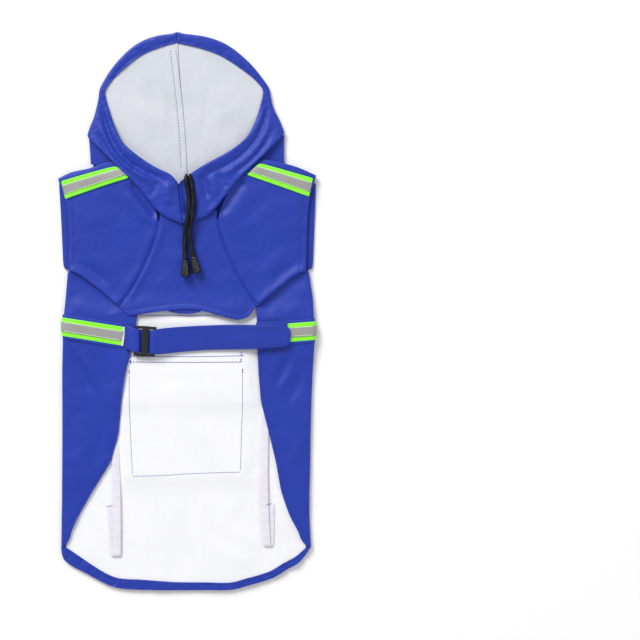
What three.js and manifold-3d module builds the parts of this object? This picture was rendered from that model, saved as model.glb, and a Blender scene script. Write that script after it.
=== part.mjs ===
// Dog raincoat with hood, laid flat on its back with the belly side up.
// Millimetres. X across the coat, +Y from the hem to the hood, +Z up from the table.
import * as THREE from 'three';
import Module from 'manifold-3d';
import { mergeVertices } from 'three/addons/utils/BufferGeometryUtils.js';

const wasm = await Module();
wasm.setup();

// Cloth and trim
const CLOTH = 1.2;
const LINING = 1.0;
const TAPE = 1.0;
const FILM = 0.6;
const SEAM_GAP = 0.3;
const CLEAR = 0.4;

// Fold at the sides of the coat, where the back turns over into the flaps
const FOLD_REACH = 2.8;
const FLAP_LIFT = 4.2;

// Waist tape: width, how much it tilts from the middle to a side, and where its middle lies
const WAIST_TAPE_WIDTH = 19.6;
const WAIST_TILT = 1.8;
const WAIST_Y = -17.2;
const HALF_WIDTH = 126;
const FILM_WIDTH = 9.8;
const STEP_RUN = 3.4;
const NECK_LIFT = 3.2;
const NECK_SIDE_LIFT = 1.1;
const BACK_LAST_ROW = 66;
const HEM_STEPS = 26;
const LINING_TUCK = 7.5;
const HOOD_CORNER_Y = 174;
const HOOD_NECK_LOW = 2.6;

// Pocket with its flap, on the outside of the back
const POCKET = { left: -58.7, right: 53.8, bottom: -163, top: -46 };
const POCKET_FLAP = { left: -63.5, right: 59, bottom: -88, top: -43 };

// Leash slit in the back, just below the hood
const SLIT = { x: -1, bottom: 50.5, top: 80, width: 2.6, depth: 24 };

// Belt, buckle and drawstring
const BELT_THICKNESS = 1.7;
const BUCKLE = {
  x: -42.6, y: -29.6, z: 8.5, tilt: -4,
  width: 21, height: 30.4, depth: 2.2, side: 2.5, end: 3, middle: 6.2, bow: 0.3,
};
const CORD_DIAMETER = 4.2;
const CORD_SIDES = 8;
const CORD_END = { length: 16.4, top: 3.3, bottom: 4.7 };
const ELASTIC = { width: 8, thickness: 1.0 };

// Brings the middle of the outline onto the origin
const CENTRE_SHIFT = 0.93;

const COLOURS = {
  cloth: { color: 0x2e45ac, roughness: 0.45, metalness: 0 },
  lining: { color: 0xfafafc, roughness: 0.85, metalness: 0 },
  tape: { color: 0x96ff3c, roughness: 0.6, metalness: 0 },
  film: { color: 0xa9a8a6, roughness: 0.4, metalness: 0.1 },
  elastic: { color: 0xf4f4f6, roughness: 0.9, metalness: 0 },
  cord: { color: 0x121214, roughness: 0.8, metalness: 0 },
  plastic: { color: 0x101114, roughness: 0.4, metalness: 0 },
};

// Sides of the back and flaps: outer edges and the free inner edges of the two flaps
const SIDES = [
  { y: 134, left: -130, right: 127.7, flapLeft: -60, flapRight: 66 },
  { y: 109, left: -128.4, right: 126.8, flapLeft: -60, flapRight: 66 },
  { y: 75, left: -126.6, right: 125.4, flapLeft: -58, flapRight: 66 },
  { y: 46, left: -125.4, right: 124.3, flapLeft: -54, flapRight: 66 },
  { y: 37, left: -121.4, right: 121.4, flapLeft: -52, flapRight: 66.5 },
  { y: 12, left: -123, right: 124.6, flapLeft: -50.4, flapRight: 67.4 },
  { y: -4, left: -124.4, right: 125.4, flapLeft: -50.2, flapRight: 68.2 },
  { y: -31, left: -125.6, right: 126, flapLeft: -55, flapRight: 68.9 },
  { y: -62, left: -126.4, right: 124, flapLeft: -62.6, flapRight: 70 },
  { y: -90, left: -126.2, right: 122.9, flapLeft: -66.7, flapRight: 72.4 },
  { y: -122, left: -126.2, right: 122, flapLeft: -69.6, flapRight: 80.6 },
  { y: -150, left: -126.3, right: 121.8, flapLeft: -77.4, flapRight: 87.3 },
  { y: -180, left: -126.5, right: 120.9, flapLeft: -96, flapRight: 92.6 },
  { y: -204, left: -126.8, right: 120.8, flapLeft: -109.6, flapRight: 101 },
  { y: -220, left: -127, right: 121.6, flapLeft: -117, flapRight: 110 },
  { y: -235, left: -127.1, right: 122.3, flapLeft: -120, flapRight: 114.4 },
];

// Rounded bottom hem: outline and the upper line of the turned-up band, from left to right
const HEM = [
  { x: -127.3, y: -234.8, ix: -123.4, iy: -234.4 },
  { x: -124.4, y: -248.2, ix: -112.4, iy: -241.8 },
  { x: -103, y: -260.7, ix: -99.6, iy: -250.6 },
  { x: -85.1, y: -270.5, ix: -82, iy: -261.6 },
  { x: -70.8, y: -275.9, ix: -68.6, iy: -266.4 },
  { x: -49.4, y: -277.7, ix: -48.9, iy: -267.4 },
  { x: -13.7, y: -278.2, ix: -13.7, iy: -270.1 },
  { x: 20, y: -278, ix: 20, iy: -270.3 },
  { x: 44.3, y: -277.7, ix: 42.4, iy: -270.6 },
  { x: 60, y: -273.4, ix: 57.4, iy: -266.4 },
  { x: 84.5, y: -266.1, ix: 81, iy: -259.6 },
  { x: 98.8, y: -257.2, ix: 94.4, iy: -251.4 },
  { x: 111.3, y: -250, ix: 107.6, iy: -244.2 },
  { x: 122.4, y: -234.8, ix: 118.4, iy: -234.4 },
];

// Upper edge of the back: shoulder, then the neckline under the hood, from left to right
const BACK_TOP = [
  { x: -130, y: 133.4 }, { x: -114.5, y: 140.7 }, { x: -101, y: 143.5 }, { x: -92, y: 124 },
  { x: -80, y: 110 }, { x: -60, y: 102 }, { x: -30, y: 93 }, { x: 0, y: 88 },
  { x: 30, y: 92 }, { x: 60, y: 102 }, { x: 78, y: 110 }, { x: 90, y: 124 },
  { x: 98, y: 144 }, { x: 110, y: 143.2 }, { x: 127.7, y: 136.5 },
];

// Hood seen from above: outline, edge of the opening, height of the folded-over cloth, per side
const HOOD_LEFT = [
  { ox: -11.3, oy: 278.2, ix: -12.4, iy: 268, z: 3.3 },
  { ox: -34, oy: 275, ix: -30.1, iy: 262.9, z: 3.3 },
  { ox: -53, oy: 266.7, ix: -47.6, iy: 255.2, z: 3.3 },
  { ox: -72.2, oy: 248.6, ix: -64.5, iy: 241.9, z: 3.3 },
  { ox: -84.6, oy: 230.4, ix: -77.4, iy: 228.6, z: 3.4 },
  { ox: -89.6, oy: 213.8, ix: -81.6, iy: 213, z: 3.7 },
  { ox: -94.4, oy: 194, ix: -78, iy: 198, z: 4.3 },
  { ox: -100.3, oy: 175.9, ix: -73.2, iy: 184.8, z: 5.6 },
  { ox: -83.7, oy: 157.6, ix: -65.4, iy: 169, z: 8.4 },
  { ox: -66, oy: 139.6, ix: -54, iy: 158.4, z: 10.4 },
  { ox: -49.2, oy: 123.2, ix: -42, iy: 149.6, z: 10.9 },
  { ox: -36, oy: 106, ix: -29.6, iy: 142.2, z: 11.1 },
  { ox: -24.6, oy: 94.8, ix: -16.7, iy: 136, z: 11.1 },
  { ox: -5.4, oy: 86.9, ix: -9.8, iy: 128, z: 11.1 },
];
const HOOD_RIGHT = [
  { ox: -10.9, oy: 278.2, ix: -12, iy: 268, z: 3.3 },
  { ox: 17.8, oy: 274.6, ix: 9, iy: 263.6, z: 3.3 },
  { ox: 38, oy: 267, ix: 32, iy: 255.4, z: 3.3 },
  { ox: 56, oy: 253.4, ix: 52, iy: 242.6, z: 3.3 },
  { ox: 70.4, oy: 237.8, ix: 68, iy: 229.4, z: 3.4 },
  { ox: 80, oy: 222, ix: 73.4, iy: 216.6, z: 3.7 },
  { ox: 84.6, oy: 204, ix: 71.4, iy: 204, z: 4.3 },
  { ox: 95, oy: 178.7, ix: 66, iy: 188, z: 5.6 },
  { ox: 81, oy: 161, ix: 58, iy: 173.4, z: 8.4 },
  { ox: 64, oy: 144.6, ix: 47, iy: 163.6, z: 10.4 },
  { ox: 48.4, oy: 129, ix: 35, iy: 156, z: 10.9 },
  { ox: 34.6, oy: 111, ix: 22, iy: 149, z: 11.1 },
  { ox: 20.6, oy: 95.6, ix: 8.6, iy: 141.2, z: 11.1 },
  { ox: -5, oy: 86.9, ix: -9.4, iy: 128, z: 11.1 },
];
const HOOD_BACK_ROWS = 6;

// Back half of the hood: gathered lower edge, side, and its centre seam
const HOOD_NECKLINE = [
  { x: -101, y: 120 }, { x: -94, y: 112 }, { x: -84, y: 105.5 }, { x: -68, y: 101.5 }, { x: -55, y: 93.5 },
  { x: -40, y: 88.5 }, { x: -30, y: 92 }, { x: -16, y: 84.5 }, { x: 0, y: 82 }, { x: 15, y: 80.4 },
  { x: 31, y: 82.4 }, { x: 48, y: 88.4 }, { x: 60, y: 98 }, { x: 72, y: 97 }, { x: 83, y: 102.4 },
  { x: 93, y: 111 }, { x: 99, y: 120 },
];
const HOOD_SIDE_LEFT = [
  { x: -101, y: 120 }, { x: -103.6, y: 134 }, { x: -98.2, y: 149 }, { x: -96, y: 165 },
  { x: -95, y: 178 }, { x: -93, y: 194 }, { x: -89.6, y: 213.8 },
];
const HOOD_SIDE_RIGHT = [
  { x: 99, y: 120 }, { x: 101.6, y: 134 }, { x: 95.6, y: 149 }, { x: 92, y: 165 },
  { x: 89.6, y: 178 }, { x: 85, y: 198 }, { x: 80, y: 222 },
];
const HOOD_SEAM = [{ x: -1, y: 82 }, { x: -2.2, y: 130 }, { x: -6, y: 190 }, { x: -11.1, y: 278.2 }];
const HOOD_STRIP = [
  { x: -4.4, y: 137 }, { x: -5.2, y: 156 }, { x: -6.4, y: 176.8 }, { x: -8.1, y: 196 }, { x: -10, y: 215.1 },
  { x: -12.8, y: 240 }, { x: -15.6, y: 262 },
];
const GATHERS = [
  { x: -84, lean: -0.42, depth: 1.0 }, { x: -66, lean: -0.36, depth: 1.3 },
  { x: -48, lean: -0.28, depth: 1.6 }, { x: -33, lean: -0.2, depth: 1.2 },
  { x: -17, lean: -0.1, depth: 1.4 }, { x: 14, lean: 0.08, depth: 1.2 },
  { x: 30, lean: 0.18, depth: 1.6 }, { x: 46, lean: 0.26, depth: 1.3 },
  { x: 63, lean: 0.34, depth: 1.6 }, { x: 82, lean: 0.42, depth: 1.0 },
];

// Side of the hood that shows beside its fold: outer edge and edge under the fold
const HOOD_NECKS = {
  left: [
    { x: -97.6, y: 147, ix: -60, iy: 139 }, { x: -98, y: 155, ix: -68, iy: 152 },
    { x: -98.4, y: 163, ix: -78, iy: 163 }, { x: -98.8, y: 170, ix: -86, iy: 171 },
  ],
  right: [
    { x: 95.4, y: 147.6, ix: 56, iy: 142 }, { x: 95.3, y: 157, ix: 63, iy: 158 },
    { x: 95.2, y: 165, ix: 73, iy: 168 }, { x: 95, y: 172, ix: 81, iy: 174 },
  ],
};

// Front panels: shoulder edge, neckline, sleeve edge, lower edge and the seams beside the chest
const FRONT_LEFT = {
  top: [
    { x: -129.6, y: 132.8 }, { x: -114.5, y: 140.7 }, { x: -97.5, y: 145.4 }, { x: -79, y: 149.6 },
    { x: -58, y: 150 },
  ],
  right: [
    { x: -68.8, y: 5 }, { x: -51.3, y: 32.1 }, { x: -36, y: 66.3 }, { x: -29, y: 92 },
    { x: -38, y: 116 }, { x: -58, y: 150 },
  ],
  bottom: [
    { x: -119.4, y: 41 }, { x: -109.9, y: 37.7 }, { x: -99.7, y: 30.6 }, { x: -87.5, y: 21.4 },
    { x: -68.8, y: 5 },
  ],
  left: [
    { x: -119.4, y: 41 }, { x: -118.7, y: 62.5 }, { x: -120.5, y: 103.7 }, { x: -122.9, y: 112.2 },
    { x: -129.6, y: 132.8 },
  ],
};
const FRONT_RIGHT = {
  top: [
    { x: 127.4, y: 136 }, { x: 109.8, y: 143.7 }, { x: 95.2, y: 148 }, { x: 78, y: 152 },
    { x: 56, y: 150 },
  ],
  right: [
    { x: 68.1, y: 5 }, { x: 56.6, y: 23.7 }, { x: 47.1, y: 41 }, { x: 38.4, y: 60.1 },
    { x: 31.7, y: 79.2 }, { x: 29.1, y: 94 }, { x: 38, y: 118 }, { x: 56, y: 150 },
  ],
  bottom: [
    { x: 117.4, y: 39.8 }, { x: 109.8, y: 38.4 }, { x: 91.6, y: 25 }, { x: 73.4, y: 9.6 },
    { x: 68.1, y: 5 },
  ],
  left: [
    { x: 117.4, y: 39.8 }, { x: 118.6, y: 89.2 }, { x: 121.3, y: 114.6 }, { x: 127.4, y: 136 },
  ],
};
const CHEST = {
  top: [{ x: -28.3, y: 100 }, { x: 0, y: 104 }, { x: 28.5, y: 101 }],
  left: [
    { x: -68.1, y: 4.6 }, { x: -50.6, y: 32 }, { x: -35.3, y: 66.2 }, { x: -28.3, y: 92 },
    { x: -28.3, y: 100 },
  ],
  right: [
    { x: 67.5, y: 4.6 }, { x: 56, y: 23.7 }, { x: 46.5, y: 41 }, { x: 37.8, y: 60.1 },
    { x: 31.1, y: 79.2 }, { x: 28.5, y: 94 }, { x: 28.5, y: 101 },
  ],
  bottom: [
    { x: -68.1, y: 4.6 }, { x: -59.9, y: -4.4 }, { x: -50.7, y: -3.1 }, { x: -19.6, y: 1.1 },
    { x: -1.7, y: 2.4 }, { x: 12.9, y: 1.1 }, { x: 32.1, y: -4.1 }, { x: 48.4, y: -8.5 },
    { x: 57.4, y: -8 }, { x: 67.5, y: 4.6 },
  ],
};
const CHEST_FACING = {
  top: [{ x: -26, y: 6.4 }, { x: -3, y: 8 }, { x: 19, y: 5.6 }],
  bottom: [{ x: -20, y: 0.4 }, { x: -12, y: -1.6 }, { x: -3, y: -2.3 }, { x: 6, y: -1.8 }, { x: 13, y: 0.2 }],
};

// Rows of the flaps: height at the side, share of the waist's tilt, and rise towards the chest
const FLAP_ROWS = [
  { y: 37, lift: 18 }, { y: 26, lift: 10 }, { y: 12, lift: 3 }, { y: -3.7, tilt: 1 }, { y: -7.1, tilt: 1 },
  { y: -27.3, tilt: 1 }, { y: -30.7, tilt: 1 }, { y: -44 }, { y: -62 }, { y: -76 }, { y: -90 }, { y: -106 },
  { y: -122 }, { y: -136 }, { y: -150 }, { y: -165 }, { y: -180 }, { y: -204 }, { y: -220 }, { y: -234 },
];

// Reflective tapes on the shoulders: corners at the sleeve and at the neck, upper edge first
const SHOULDER_TAPES = {
  left: { sleeve: [[-126.6, 129.8], [-122.4, 112]], neck: [[-74.6, 144.6], [-61.6, 132.8]] },
  right: { sleeve: [[124.4, 132.8], [120.4, 114.4]], neck: [[71, 147.8], [58.6, 136]] },
};

// Waist tape on the flaps: middle of the tape at the side of the coat and at its inner end
const FRONT_TAPES = {
  left: { y: -14.8, endX: -65, endY: -24.6, lean: 1.3 },
  right: { y: -19, endX: 70, endY: -23.4, lean: 0 },
};

// Belt: stations from left to right with its two edges and the height of its underside
const BELT_LEFT = [
  { x: -63, top: -13.6, bottom: -36.6, z: 9.4 }, { x: -60, top: -14, bottom: -37.6, z: 9.4 },
  { x: -55.6, top: -15.4, bottom: -39.2, z: 10.6 }, { x: -52.6, top: -17, bottom: -40.6, z: 11.2 },
  { x: -49.5, top: -17.4, bottom: -40.9, z: 11.1 }, { x: -47.7, top: -17.5, bottom: -41, z: 9.2 },
];
const BELT_RIGHT = [
  { x: -38.2, top: -18.6, bottom: -42.1, z: 9.2 }, { x: -36.4, top: -18.6, bottom: -42.1, z: 11.1 },
  { x: -32.6, top: -18.4, bottom: -42.2, z: 11.2 }, { x: -29.4, top: -17.2, bottom: -42.4, z: 10.4 },
  { x: -21, top: -16.2, bottom: -41.8, z: 8.3 }, { x: -6, top: -15, bottom: -40, z: 7.0 },
  { x: 16, top: -13.8, bottom: -38.2, z: 6.7 }, { x: 42, top: -13, bottom: -37.6, z: 7.0 },
  { x: 58, top: -13.1, bottom: -37.4, z: 8.6 }, { x: 68, top: -13.3, bottom: -37.2, z: 10.2 },
  { x: 80, top: -13.5, bottom: -36.4, z: 10.6 }, { x: 93, top: -13.8, bottom: -35.4, z: 10.5 },
  { x: 98, top: -14.6, bottom: -34.4, z: 10.4 }, { x: 100.8, top: -16.4, bottom: -32.6, z: 10.4 },
  { x: 102, top: -19.4, bottom: -29.6, z: 10.4 },
];

// Elastic leg loops: middle line from the flap down to the fold and back to the sewn end
const ELASTICS = {
  left: [
    { x: -73.6, y: -130, z: 3.4 }, { x: -72.6, y: -150, z: 3.5 }, { x: -71.8, y: -176, z: 4.1 },
    { x: -71.4, y: -192, z: 4.9 }, { x: -71.2, y: -240, z: 4.9 }, { x: -71.8, y: -243.4, z: 4.6 },
    { x: -73, y: -244.4, z: 4.0 }, { x: -74.2, y: -243.4, z: 3.5 }, { x: -75.2, y: -238, z: 3.3 },
    { x: -77, y: -194.5, z: 3.3 },
  ],
  right: [
    { x: 78.6, y: -92, z: 3.4 }, { x: 76.6, y: -112, z: 3.5 }, { x: 75.6, y: -140, z: 4.1 },
    { x: 75.4, y: -178, z: 4.9 }, { x: 77.8, y: -230, z: 4.9 }, { x: 78.6, y: -233.4, z: 4.6 },
    { x: 79.8, y: -234.4, z: 4.0 }, { x: 80.8, y: -233.4, z: 3.5 }, { x: 81.4, y: -228, z: 3.3 },
    { x: 82.2, y: -192, z: 3.3 },
  ],
};

// Drawstring strands from the throat to their free ends
const CORD_LEFT = [
  { x: -1.8, y: 136.2, z: 14.8 }, { x: -1.6, y: 132.5, z: 15.1 }, { x: -0.9, y: 125, z: 15.2 },
  { x: 1.2, y: 111.5, z: 15.2 }, { x: -0.1, y: 93.8, z: 15.0 }, { x: -2.3, y: 81.4, z: 13.2 },
  { x: -3.1, y: 71.4, z: 11.8 }, { x: -3.0, y: 61.4, z: 12.2 }, { x: -2.4, y: 51, z: 12.9 },
];
const CORD_RIGHT = [
  { x: 2.8, y: 136.6, z: 14.8 }, { x: 2.9, y: 133, z: 15.1 }, { x: 3.8, y: 126, z: 15.2 },
  { x: 5.9, y: 111.5, z: 15.2 }, { x: 4.6, y: 93.8, z: 15.0 }, { x: 2.7, y: 81.4, z: 13.2 },
  { x: 2.6, y: 71.6, z: 11.8 }, { x: 3.8, y: 63, z: 12.2 }, { x: 5.5, y: 54.6, z: 12.9 },
];
const CORD_END_TURN = { left: 0, right: 13 };

const clamp = THREE.MathUtils.clamp;
const lerp = THREE.MathUtils.lerp;
const rise = THREE.MathUtils.smoothstep;

const group = new THREE.Group();
const finishes = Object.fromEntries(
  Object.entries(COLOURS).map(([name, values]) => [name, new THREE.MeshStandardMaterial(values)]),
);

function add(name, finish, geometry) {
  const mesh = new THREE.Mesh(geometry, finishes[finish]);
  mesh.name = name;
  group.add(mesh);
  return mesh;
}

const outwardOf = (side) => (side === 'left' ? -1 : 1);

// Value of one column of a table at a place given in another column, straight between rows
function column(table, key, place, name) {
  const rows = table[0][key] < table[table.length - 1][key] ? table : [...table].reverse();
  const next = rows.findIndex((row) => row[key] >= place);
  if (next === -1) return rows[rows.length - 1][name];
  if (next === 0) return rows[0][name];
  const [a, b] = [rows[next - 1], rows[next]];
  return lerp(a[name], b[name], (place - a[key]) / (b[key] - a[key]));
}

// Place between two others
const between = (a, b, share) => ({
  x: lerp(a.x, b.x, share),
  y: lerp(a.y, b.y, share),
  z: lerp(a.z ?? 0, b.z ?? 0, share),
});

const smoothLine = (points) => new THREE.CatmullRomCurve3(
  points.map(({ x, y, z = 0 }) => new THREE.Vector3(x, y, z)),
  false,
  'centripetal',
);

// Grid of places that fills four edges: bottom and top run the same way, and so do left and right
function fill(edges, columns, rows) {
  const [bottom, top] = [edges.bottom, edges.top].map((edge) => smoothLine(edge).getSpacedPoints(columns));
  const [left, right] = [edges.left, edges.right].map((edge) => smoothLine(edge).getSpacedPoints(rows));
  return left.map((_, j) => bottom.map((_place, i) => {
    const [u, v] = [i / columns, j / rows];
    const place = (axis) => lerp(left[j][axis], right[j][axis], u) + lerp(bottom[i][axis], top[i][axis], v)
      - lerp(lerp(bottom[0][axis], bottom[columns][axis], u), lerp(top[0][axis], top[columns][axis], u), v);
    return { x: place('x'), y: place('y') };
  }));
}

// Grid between two edges of the same number of points
function ruled(first, second, columns) {
  const shares = Array.from({ length: columns + 1 }, (_, i) => i / columns);
  return first.map((place, j) => shares.map((share) => between(place, second[j], share)));
}

const transpose = (grid) => grid[0].map((_, i) => grid.map((row) => row[i]));
const mirrorRows = (grid) => grid.map((row) => [...row].reverse());

// Ways to turn a grid so that the named side comes first, and back
const TURNS = {
  left: [(grid) => grid, (grid) => grid],
  right: [mirrorRows, mirrorRows],
  bottom: [transpose, transpose],
  top: [(grid) => mirrorRows(transpose(grid)), (grid) => transpose(mirrorRows(grid))],
};

// Moves one side of a grid in by a distance, and the places behind it less and less
function drawIn(grid, side, distance) {
  const [turn, back] = TURNS[side];
  return back(turn(grid).map((row) => {
    const far = row[row.length - 1];
    const share = Math.min(distance / Math.hypot(far.x - row[0].x, far.y - row[0].y), 0.6);
    return row.map((place, i) => between(place, far, share * (1 - i / (row.length - 1))));
  }));
}

// Rounds the first column of a wall over and down to the height of the layer that it meets
function roundOver(upper, lower, fold, thick) {
  const steps = [4, 3, 2, 1].map((step) => step * Math.PI / 4);
  upper.forEach((row, j) => {
    const [edge, next] = row;
    const out = new THREE.Vector3(edge.x - next.x, edge.y - next.y, 0).normalize();
    const half = Math.max((edge.z - fold.low(edge.x, edge.y)) / 2, thick + 0.15);
    const ring = (width, height) => steps.map((angle) => edge.clone()
      .setZ(edge.z - half + height * Math.cos(angle))
      .addScaledVector(out, width * Math.sin(angle)));
    row.unshift(...ring(fold.reach, half));
    lower[j].unshift(...ring(fold.reach - thick, half - thick));
  });
}

// Closed body between an upper and a lower grid of points
function wall(upper, lower) {
  const [rows, columns] = [upper.length, upper[0].length];
  const points = [...upper.flat(), ...lower.flat()];
  const at = (j, i, side = 0) => side * rows * columns + j * columns + i;
  const faces = [];
  const quad = (a, b, c, d) => faces.push(a, b, c, a, c, d);
  for (let j = 0; j < rows - 1; j += 1) {
    for (let i = 0; i < columns - 1; i += 1) {
      quad(at(j, i), at(j, i + 1), at(j + 1, i + 1), at(j + 1, i));
      quad(at(j, i, 1), at(j + 1, i, 1), at(j + 1, i + 1, 1), at(j, i + 1, 1));
    }
    quad(at(j, 0), at(j + 1, 0), at(j + 1, 0, 1), at(j, 0, 1));
    quad(at(j, columns - 1), at(j, columns - 1, 1), at(j + 1, columns - 1, 1), at(j + 1, columns - 1));
  }
  for (let i = 0; i < columns - 1; i += 1) {
    quad(at(0, i), at(0, i, 1), at(0, i + 1, 1), at(0, i + 1));
    quad(at(rows - 1, i), at(rows - 1, i + 1), at(rows - 1, i + 1, 1), at(rows - 1, i, 1));
  }
  const volume = faces.reduce((sum, _, n) => (n % 3 ? sum
    : sum + points[faces[n]].dot(points[faces[n + 1]].clone().cross(points[faces[n + 2]]))), 0);
  if (volume < 0) {
    faces.reverse();
  }
  const geometry = new THREE.BufferGeometry().setFromPoints(points);
  geometry.setIndex(faces);
  geometry.computeVertexNormals();
  return geometry;
}

// Cloth panel on a grid of places, above a height, with chosen edges rounded over
function panel(grid, low, thick, folds = {}) {
  const places = Object.entries(folds).reduce((part, [side, fold]) => drawIn(part, side, fold.reach), grid);
  const resting = (place) => new THREE.Vector3(place.x, place.y, low(place.x, place.y, place));
  let lower = places.map((row) => row.map(resting));
  let upper = lower.map((row) => row.map((point) => point.clone().setZ(point.z + thick)));
  Object.entries(folds).forEach(([side, fold]) => {
    const [turn, back] = TURNS[side];
    const [turned, under] = [turn(upper), turn(lower)];
    roundOver(turned, under, fold, thick);
    [upper, lower] = [back(turned), back(under)];
  });
  return wall(upper, lower);
}

// Flat band along a line of points, with its width across the line and its thickness square to both
function band(line, width, thick) {
  const across = new THREE.Vector3(width / 2, 0, 0);
  const sides = line.map((point, n) => {
    const along = line[Math.min(n + 1, line.length - 1)].clone().sub(line[Math.max(n - 1, 0)]);
    const normal = across.clone().cross(along).setLength(thick / 2);
    return [normal, normal.clone().negate()].map((lift) => [
      point.clone().sub(across).add(lift),
      point.clone().add(across).add(lift),
    ]);
  });
  return wall(sides.map(([upper]) => upper), sides.map(([, lower]) => lower));
}

const waistMiddle = (x) => WAIST_Y - WAIST_TILT * (x / HALF_WIDTH);
const TAPE_STACK = TAPE + FILM + 2 * SEAM_GAP;
const TAPE_EDGE = WAIST_TAPE_WIDTH / 2 + SEAM_GAP;

// 1 inside a rectangle, down to 0 over a run outside it
function inside(x, y, box, run) {
  return Math.min(rise(x, box.left - run, box.left), 1 - rise(x, box.right, box.right + run))
    * Math.min(rise(y, box.bottom - run, box.bottom), 1 - rise(y, box.top, box.top + run));
}

// Height of the outside of the back above the table: over the tape, the pocket, its flap and the hood
function backLow(x, y) {
  const tape = TAPE_STACK * (1 - clamp((Math.abs(y - waistMiddle(x)) - TAPE_EDGE) / STEP_RUN, 0, 1));
  const pocket = (CLOTH + SEAM_GAP) * inside(x, y, POCKET, STEP_RUN);
  const flap = (CLOTH + SEAM_GAP) * inside(x, y, POCKET_FLAP, STEP_RUN);
  const toNeck = (y - BACK_LAST_ROW) / (column(BACK_TOP, 'x', x, 'y') - BACK_LAST_ROW);
  const hood = NECK_LIFT * rise(toNeck, 0.28, 0.62) * (1 - rise(Math.abs(x), 104, 113));
  return Math.max(tape, pocket + flap, hood);
}
const backHigh = (x, y) => backLow(x, y) + CLOTH;
const liningHigh = (x, y) => backHigh(x, y) + SEAM_GAP + LINING;

// Height of the inside of the flaps: raised over the waist tape and the top of the pocket
function flapLow(x, y) {
  const waist = TAPE_STACK * (rise(y, -56, -33) - rise(y, -1, 16));
  const pocket = 2 * (CLOTH + SEAM_GAP) * inside(x, y, POCKET_FLAP, 13);
  return FLAP_LIFT + Math.max(waist, pocket);
}
const flapHigh = (x, y) => flapLow(x, y) + CLOTH;

// Height of the gathered back half of the hood above the table
function hoodLow(x, y) {
  const fade = 1 - rise(y, 100, 200);
  return GATHERS.reduce((sum, { x: foot, lean, depth }) => {
    const off = (x - foot - lean * (y - 90)) / (4.6 + 0.03 * (y - 90));
    return sum + depth * fade * Math.exp(-off * off);
  }, 0);
}
const hoodHigh = (x, y) => hoodLow(x, y) + CLOTH;

// Height of the inside of the front panels: low at the sleeve and shoulder, full over the neck
function frontLow(x, y) {
  const shoulder = column(x < 0 ? FRONT_LEFT.top : FRONT_RIGHT.top, 'x', x, 'y');
  const body = 6.0 + 1.7 * rise(y, 50, 105) + 0.5 * Math.exp(-(((x - 6) / 42) ** 2) - ((y - 44) / 30) ** 2);
  const rim = Math.min(rise(122 - Math.abs(x), 0, 15), rise(shoulder - y, 0, 16));
  const neckSide = NECK_SIDE_LIFT * rise(y, 100, 125) * (1 - rise(Math.abs(x), 108, 116));
  const edge = lerp(6, 5.3 + neckSide, rise(y, 50, 64));
  return lerp(edge, body, rim) + TAPE_STACK * (1 - rise(y, -2, 18));
}
const frontHigh = (x, y) => frontLow(x, y) + CLOTH;

// Rows of the back: fixed heights across the steps of tape and pocket
const BACK_ROWS = [
  { y: -228 }, { y: -198 }, { y: POCKET.bottom - STEP_RUN }, { y: POCKET.bottom }, { y: -126 },
  { y: POCKET_FLAP.bottom - STEP_RUN }, { y: POCKET_FLAP.bottom }, { y: -62 }, { y: POCKET.top },
  { y: POCKET_FLAP.top }, { y: POCKET_FLAP.top + STEP_RUN },
  { y: WAIST_Y - TAPE_EDGE - STEP_RUN, tilt: 1 }, { y: WAIST_Y - TAPE_EDGE, tilt: 1 },
  { y: WAIST_Y + TAPE_EDGE, tilt: 1 }, { y: WAIST_Y + TAPE_EDGE + STEP_RUN, tilt: 1 },
  { y: 12 }, { y: 37 }, { y: 46 }, { y: BACK_LAST_ROW },
];
const BACK_COLUMNS = [
  -112, -103, -86, POCKET_FLAP.left - STEP_RUN, POCKET_FLAP.left, POCKET.left, -30, 8, 28, POCKET.right,
  POCKET_FLAP.right, POCKET_FLAP.right + STEP_RUN, 84, 102, 112,
];
const NECK_SHARES = [0.28, 0.62, 1];
const LINING_SHARES = [0.28];

// Grid over the back, from the hem to the neckline, with its sides drawn in by a margin
function backGrid(marginAt, hemMargin, neckShares) {
  const across = Array.from({ length: BACK_COLUMNS.length + 2 }, (_, i) => i);
  const place = (i, y) => {
    if (i === 0) return column(SIDES, 'y', y, 'left') + marginAt(y);
    if (i > BACK_COLUMNS.length) return column(SIDES, 'y', y, 'right') - marginAt(y);
    return BACK_COLUMNS[i - 1];
  };
  const hemRows = [1, 0.5].map((share) => across.map((i) => {
    const x = place(i, -236);
    return { x, y: lerp(BACK_ROWS[0].y, column(HEM, 'x', x, 'y') + hemMargin, share) };
  }));
  const rows = BACK_ROWS.map(({ y, tilt = 0 }) => across.map((i) => {
    const x = place(i, y);
    return { x, y: y - tilt * WAIST_TILT * (x / HALF_WIDTH) };
  }));
  const neckRows = neckShares.map((share) => across.map((i) => {
    const y = lerp(BACK_LAST_ROW, column(BACK_TOP, 'x', place(i, 134), 'y'), share);
    return { x: place(i, Math.min(y, 134)), y };
  }));
  return [...hemRows, ...rows, ...neckRows];
}

// Solid with the material of another one taken away
function cut(geometry, tool) {
  const [body, knife] = [geometry, tool].map((source) => {
    const bare = source.clone();
    ['normal', 'uv'].forEach((name) => bare.deleteAttribute(name));
    const merged = mergeVertices(bare, 1e-4);
    return new wasm.Manifold(new wasm.Mesh({
      numProp: 3,
      vertProperties: new Float32Array(merged.attributes.position.array),
      triVerts: new Uint32Array(merged.index.array),
    }));
  });
  const mesh = body.subtract(knife).getMesh();
  const result = new THREE.BufferGeometry();
  result.setAttribute('position', new THREE.BufferAttribute(mesh.vertProperties, 3));
  result.setIndex(new THREE.BufferAttribute(mesh.triVerts, 1));
  result.computeVertexNormals();
  return result;
}

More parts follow.
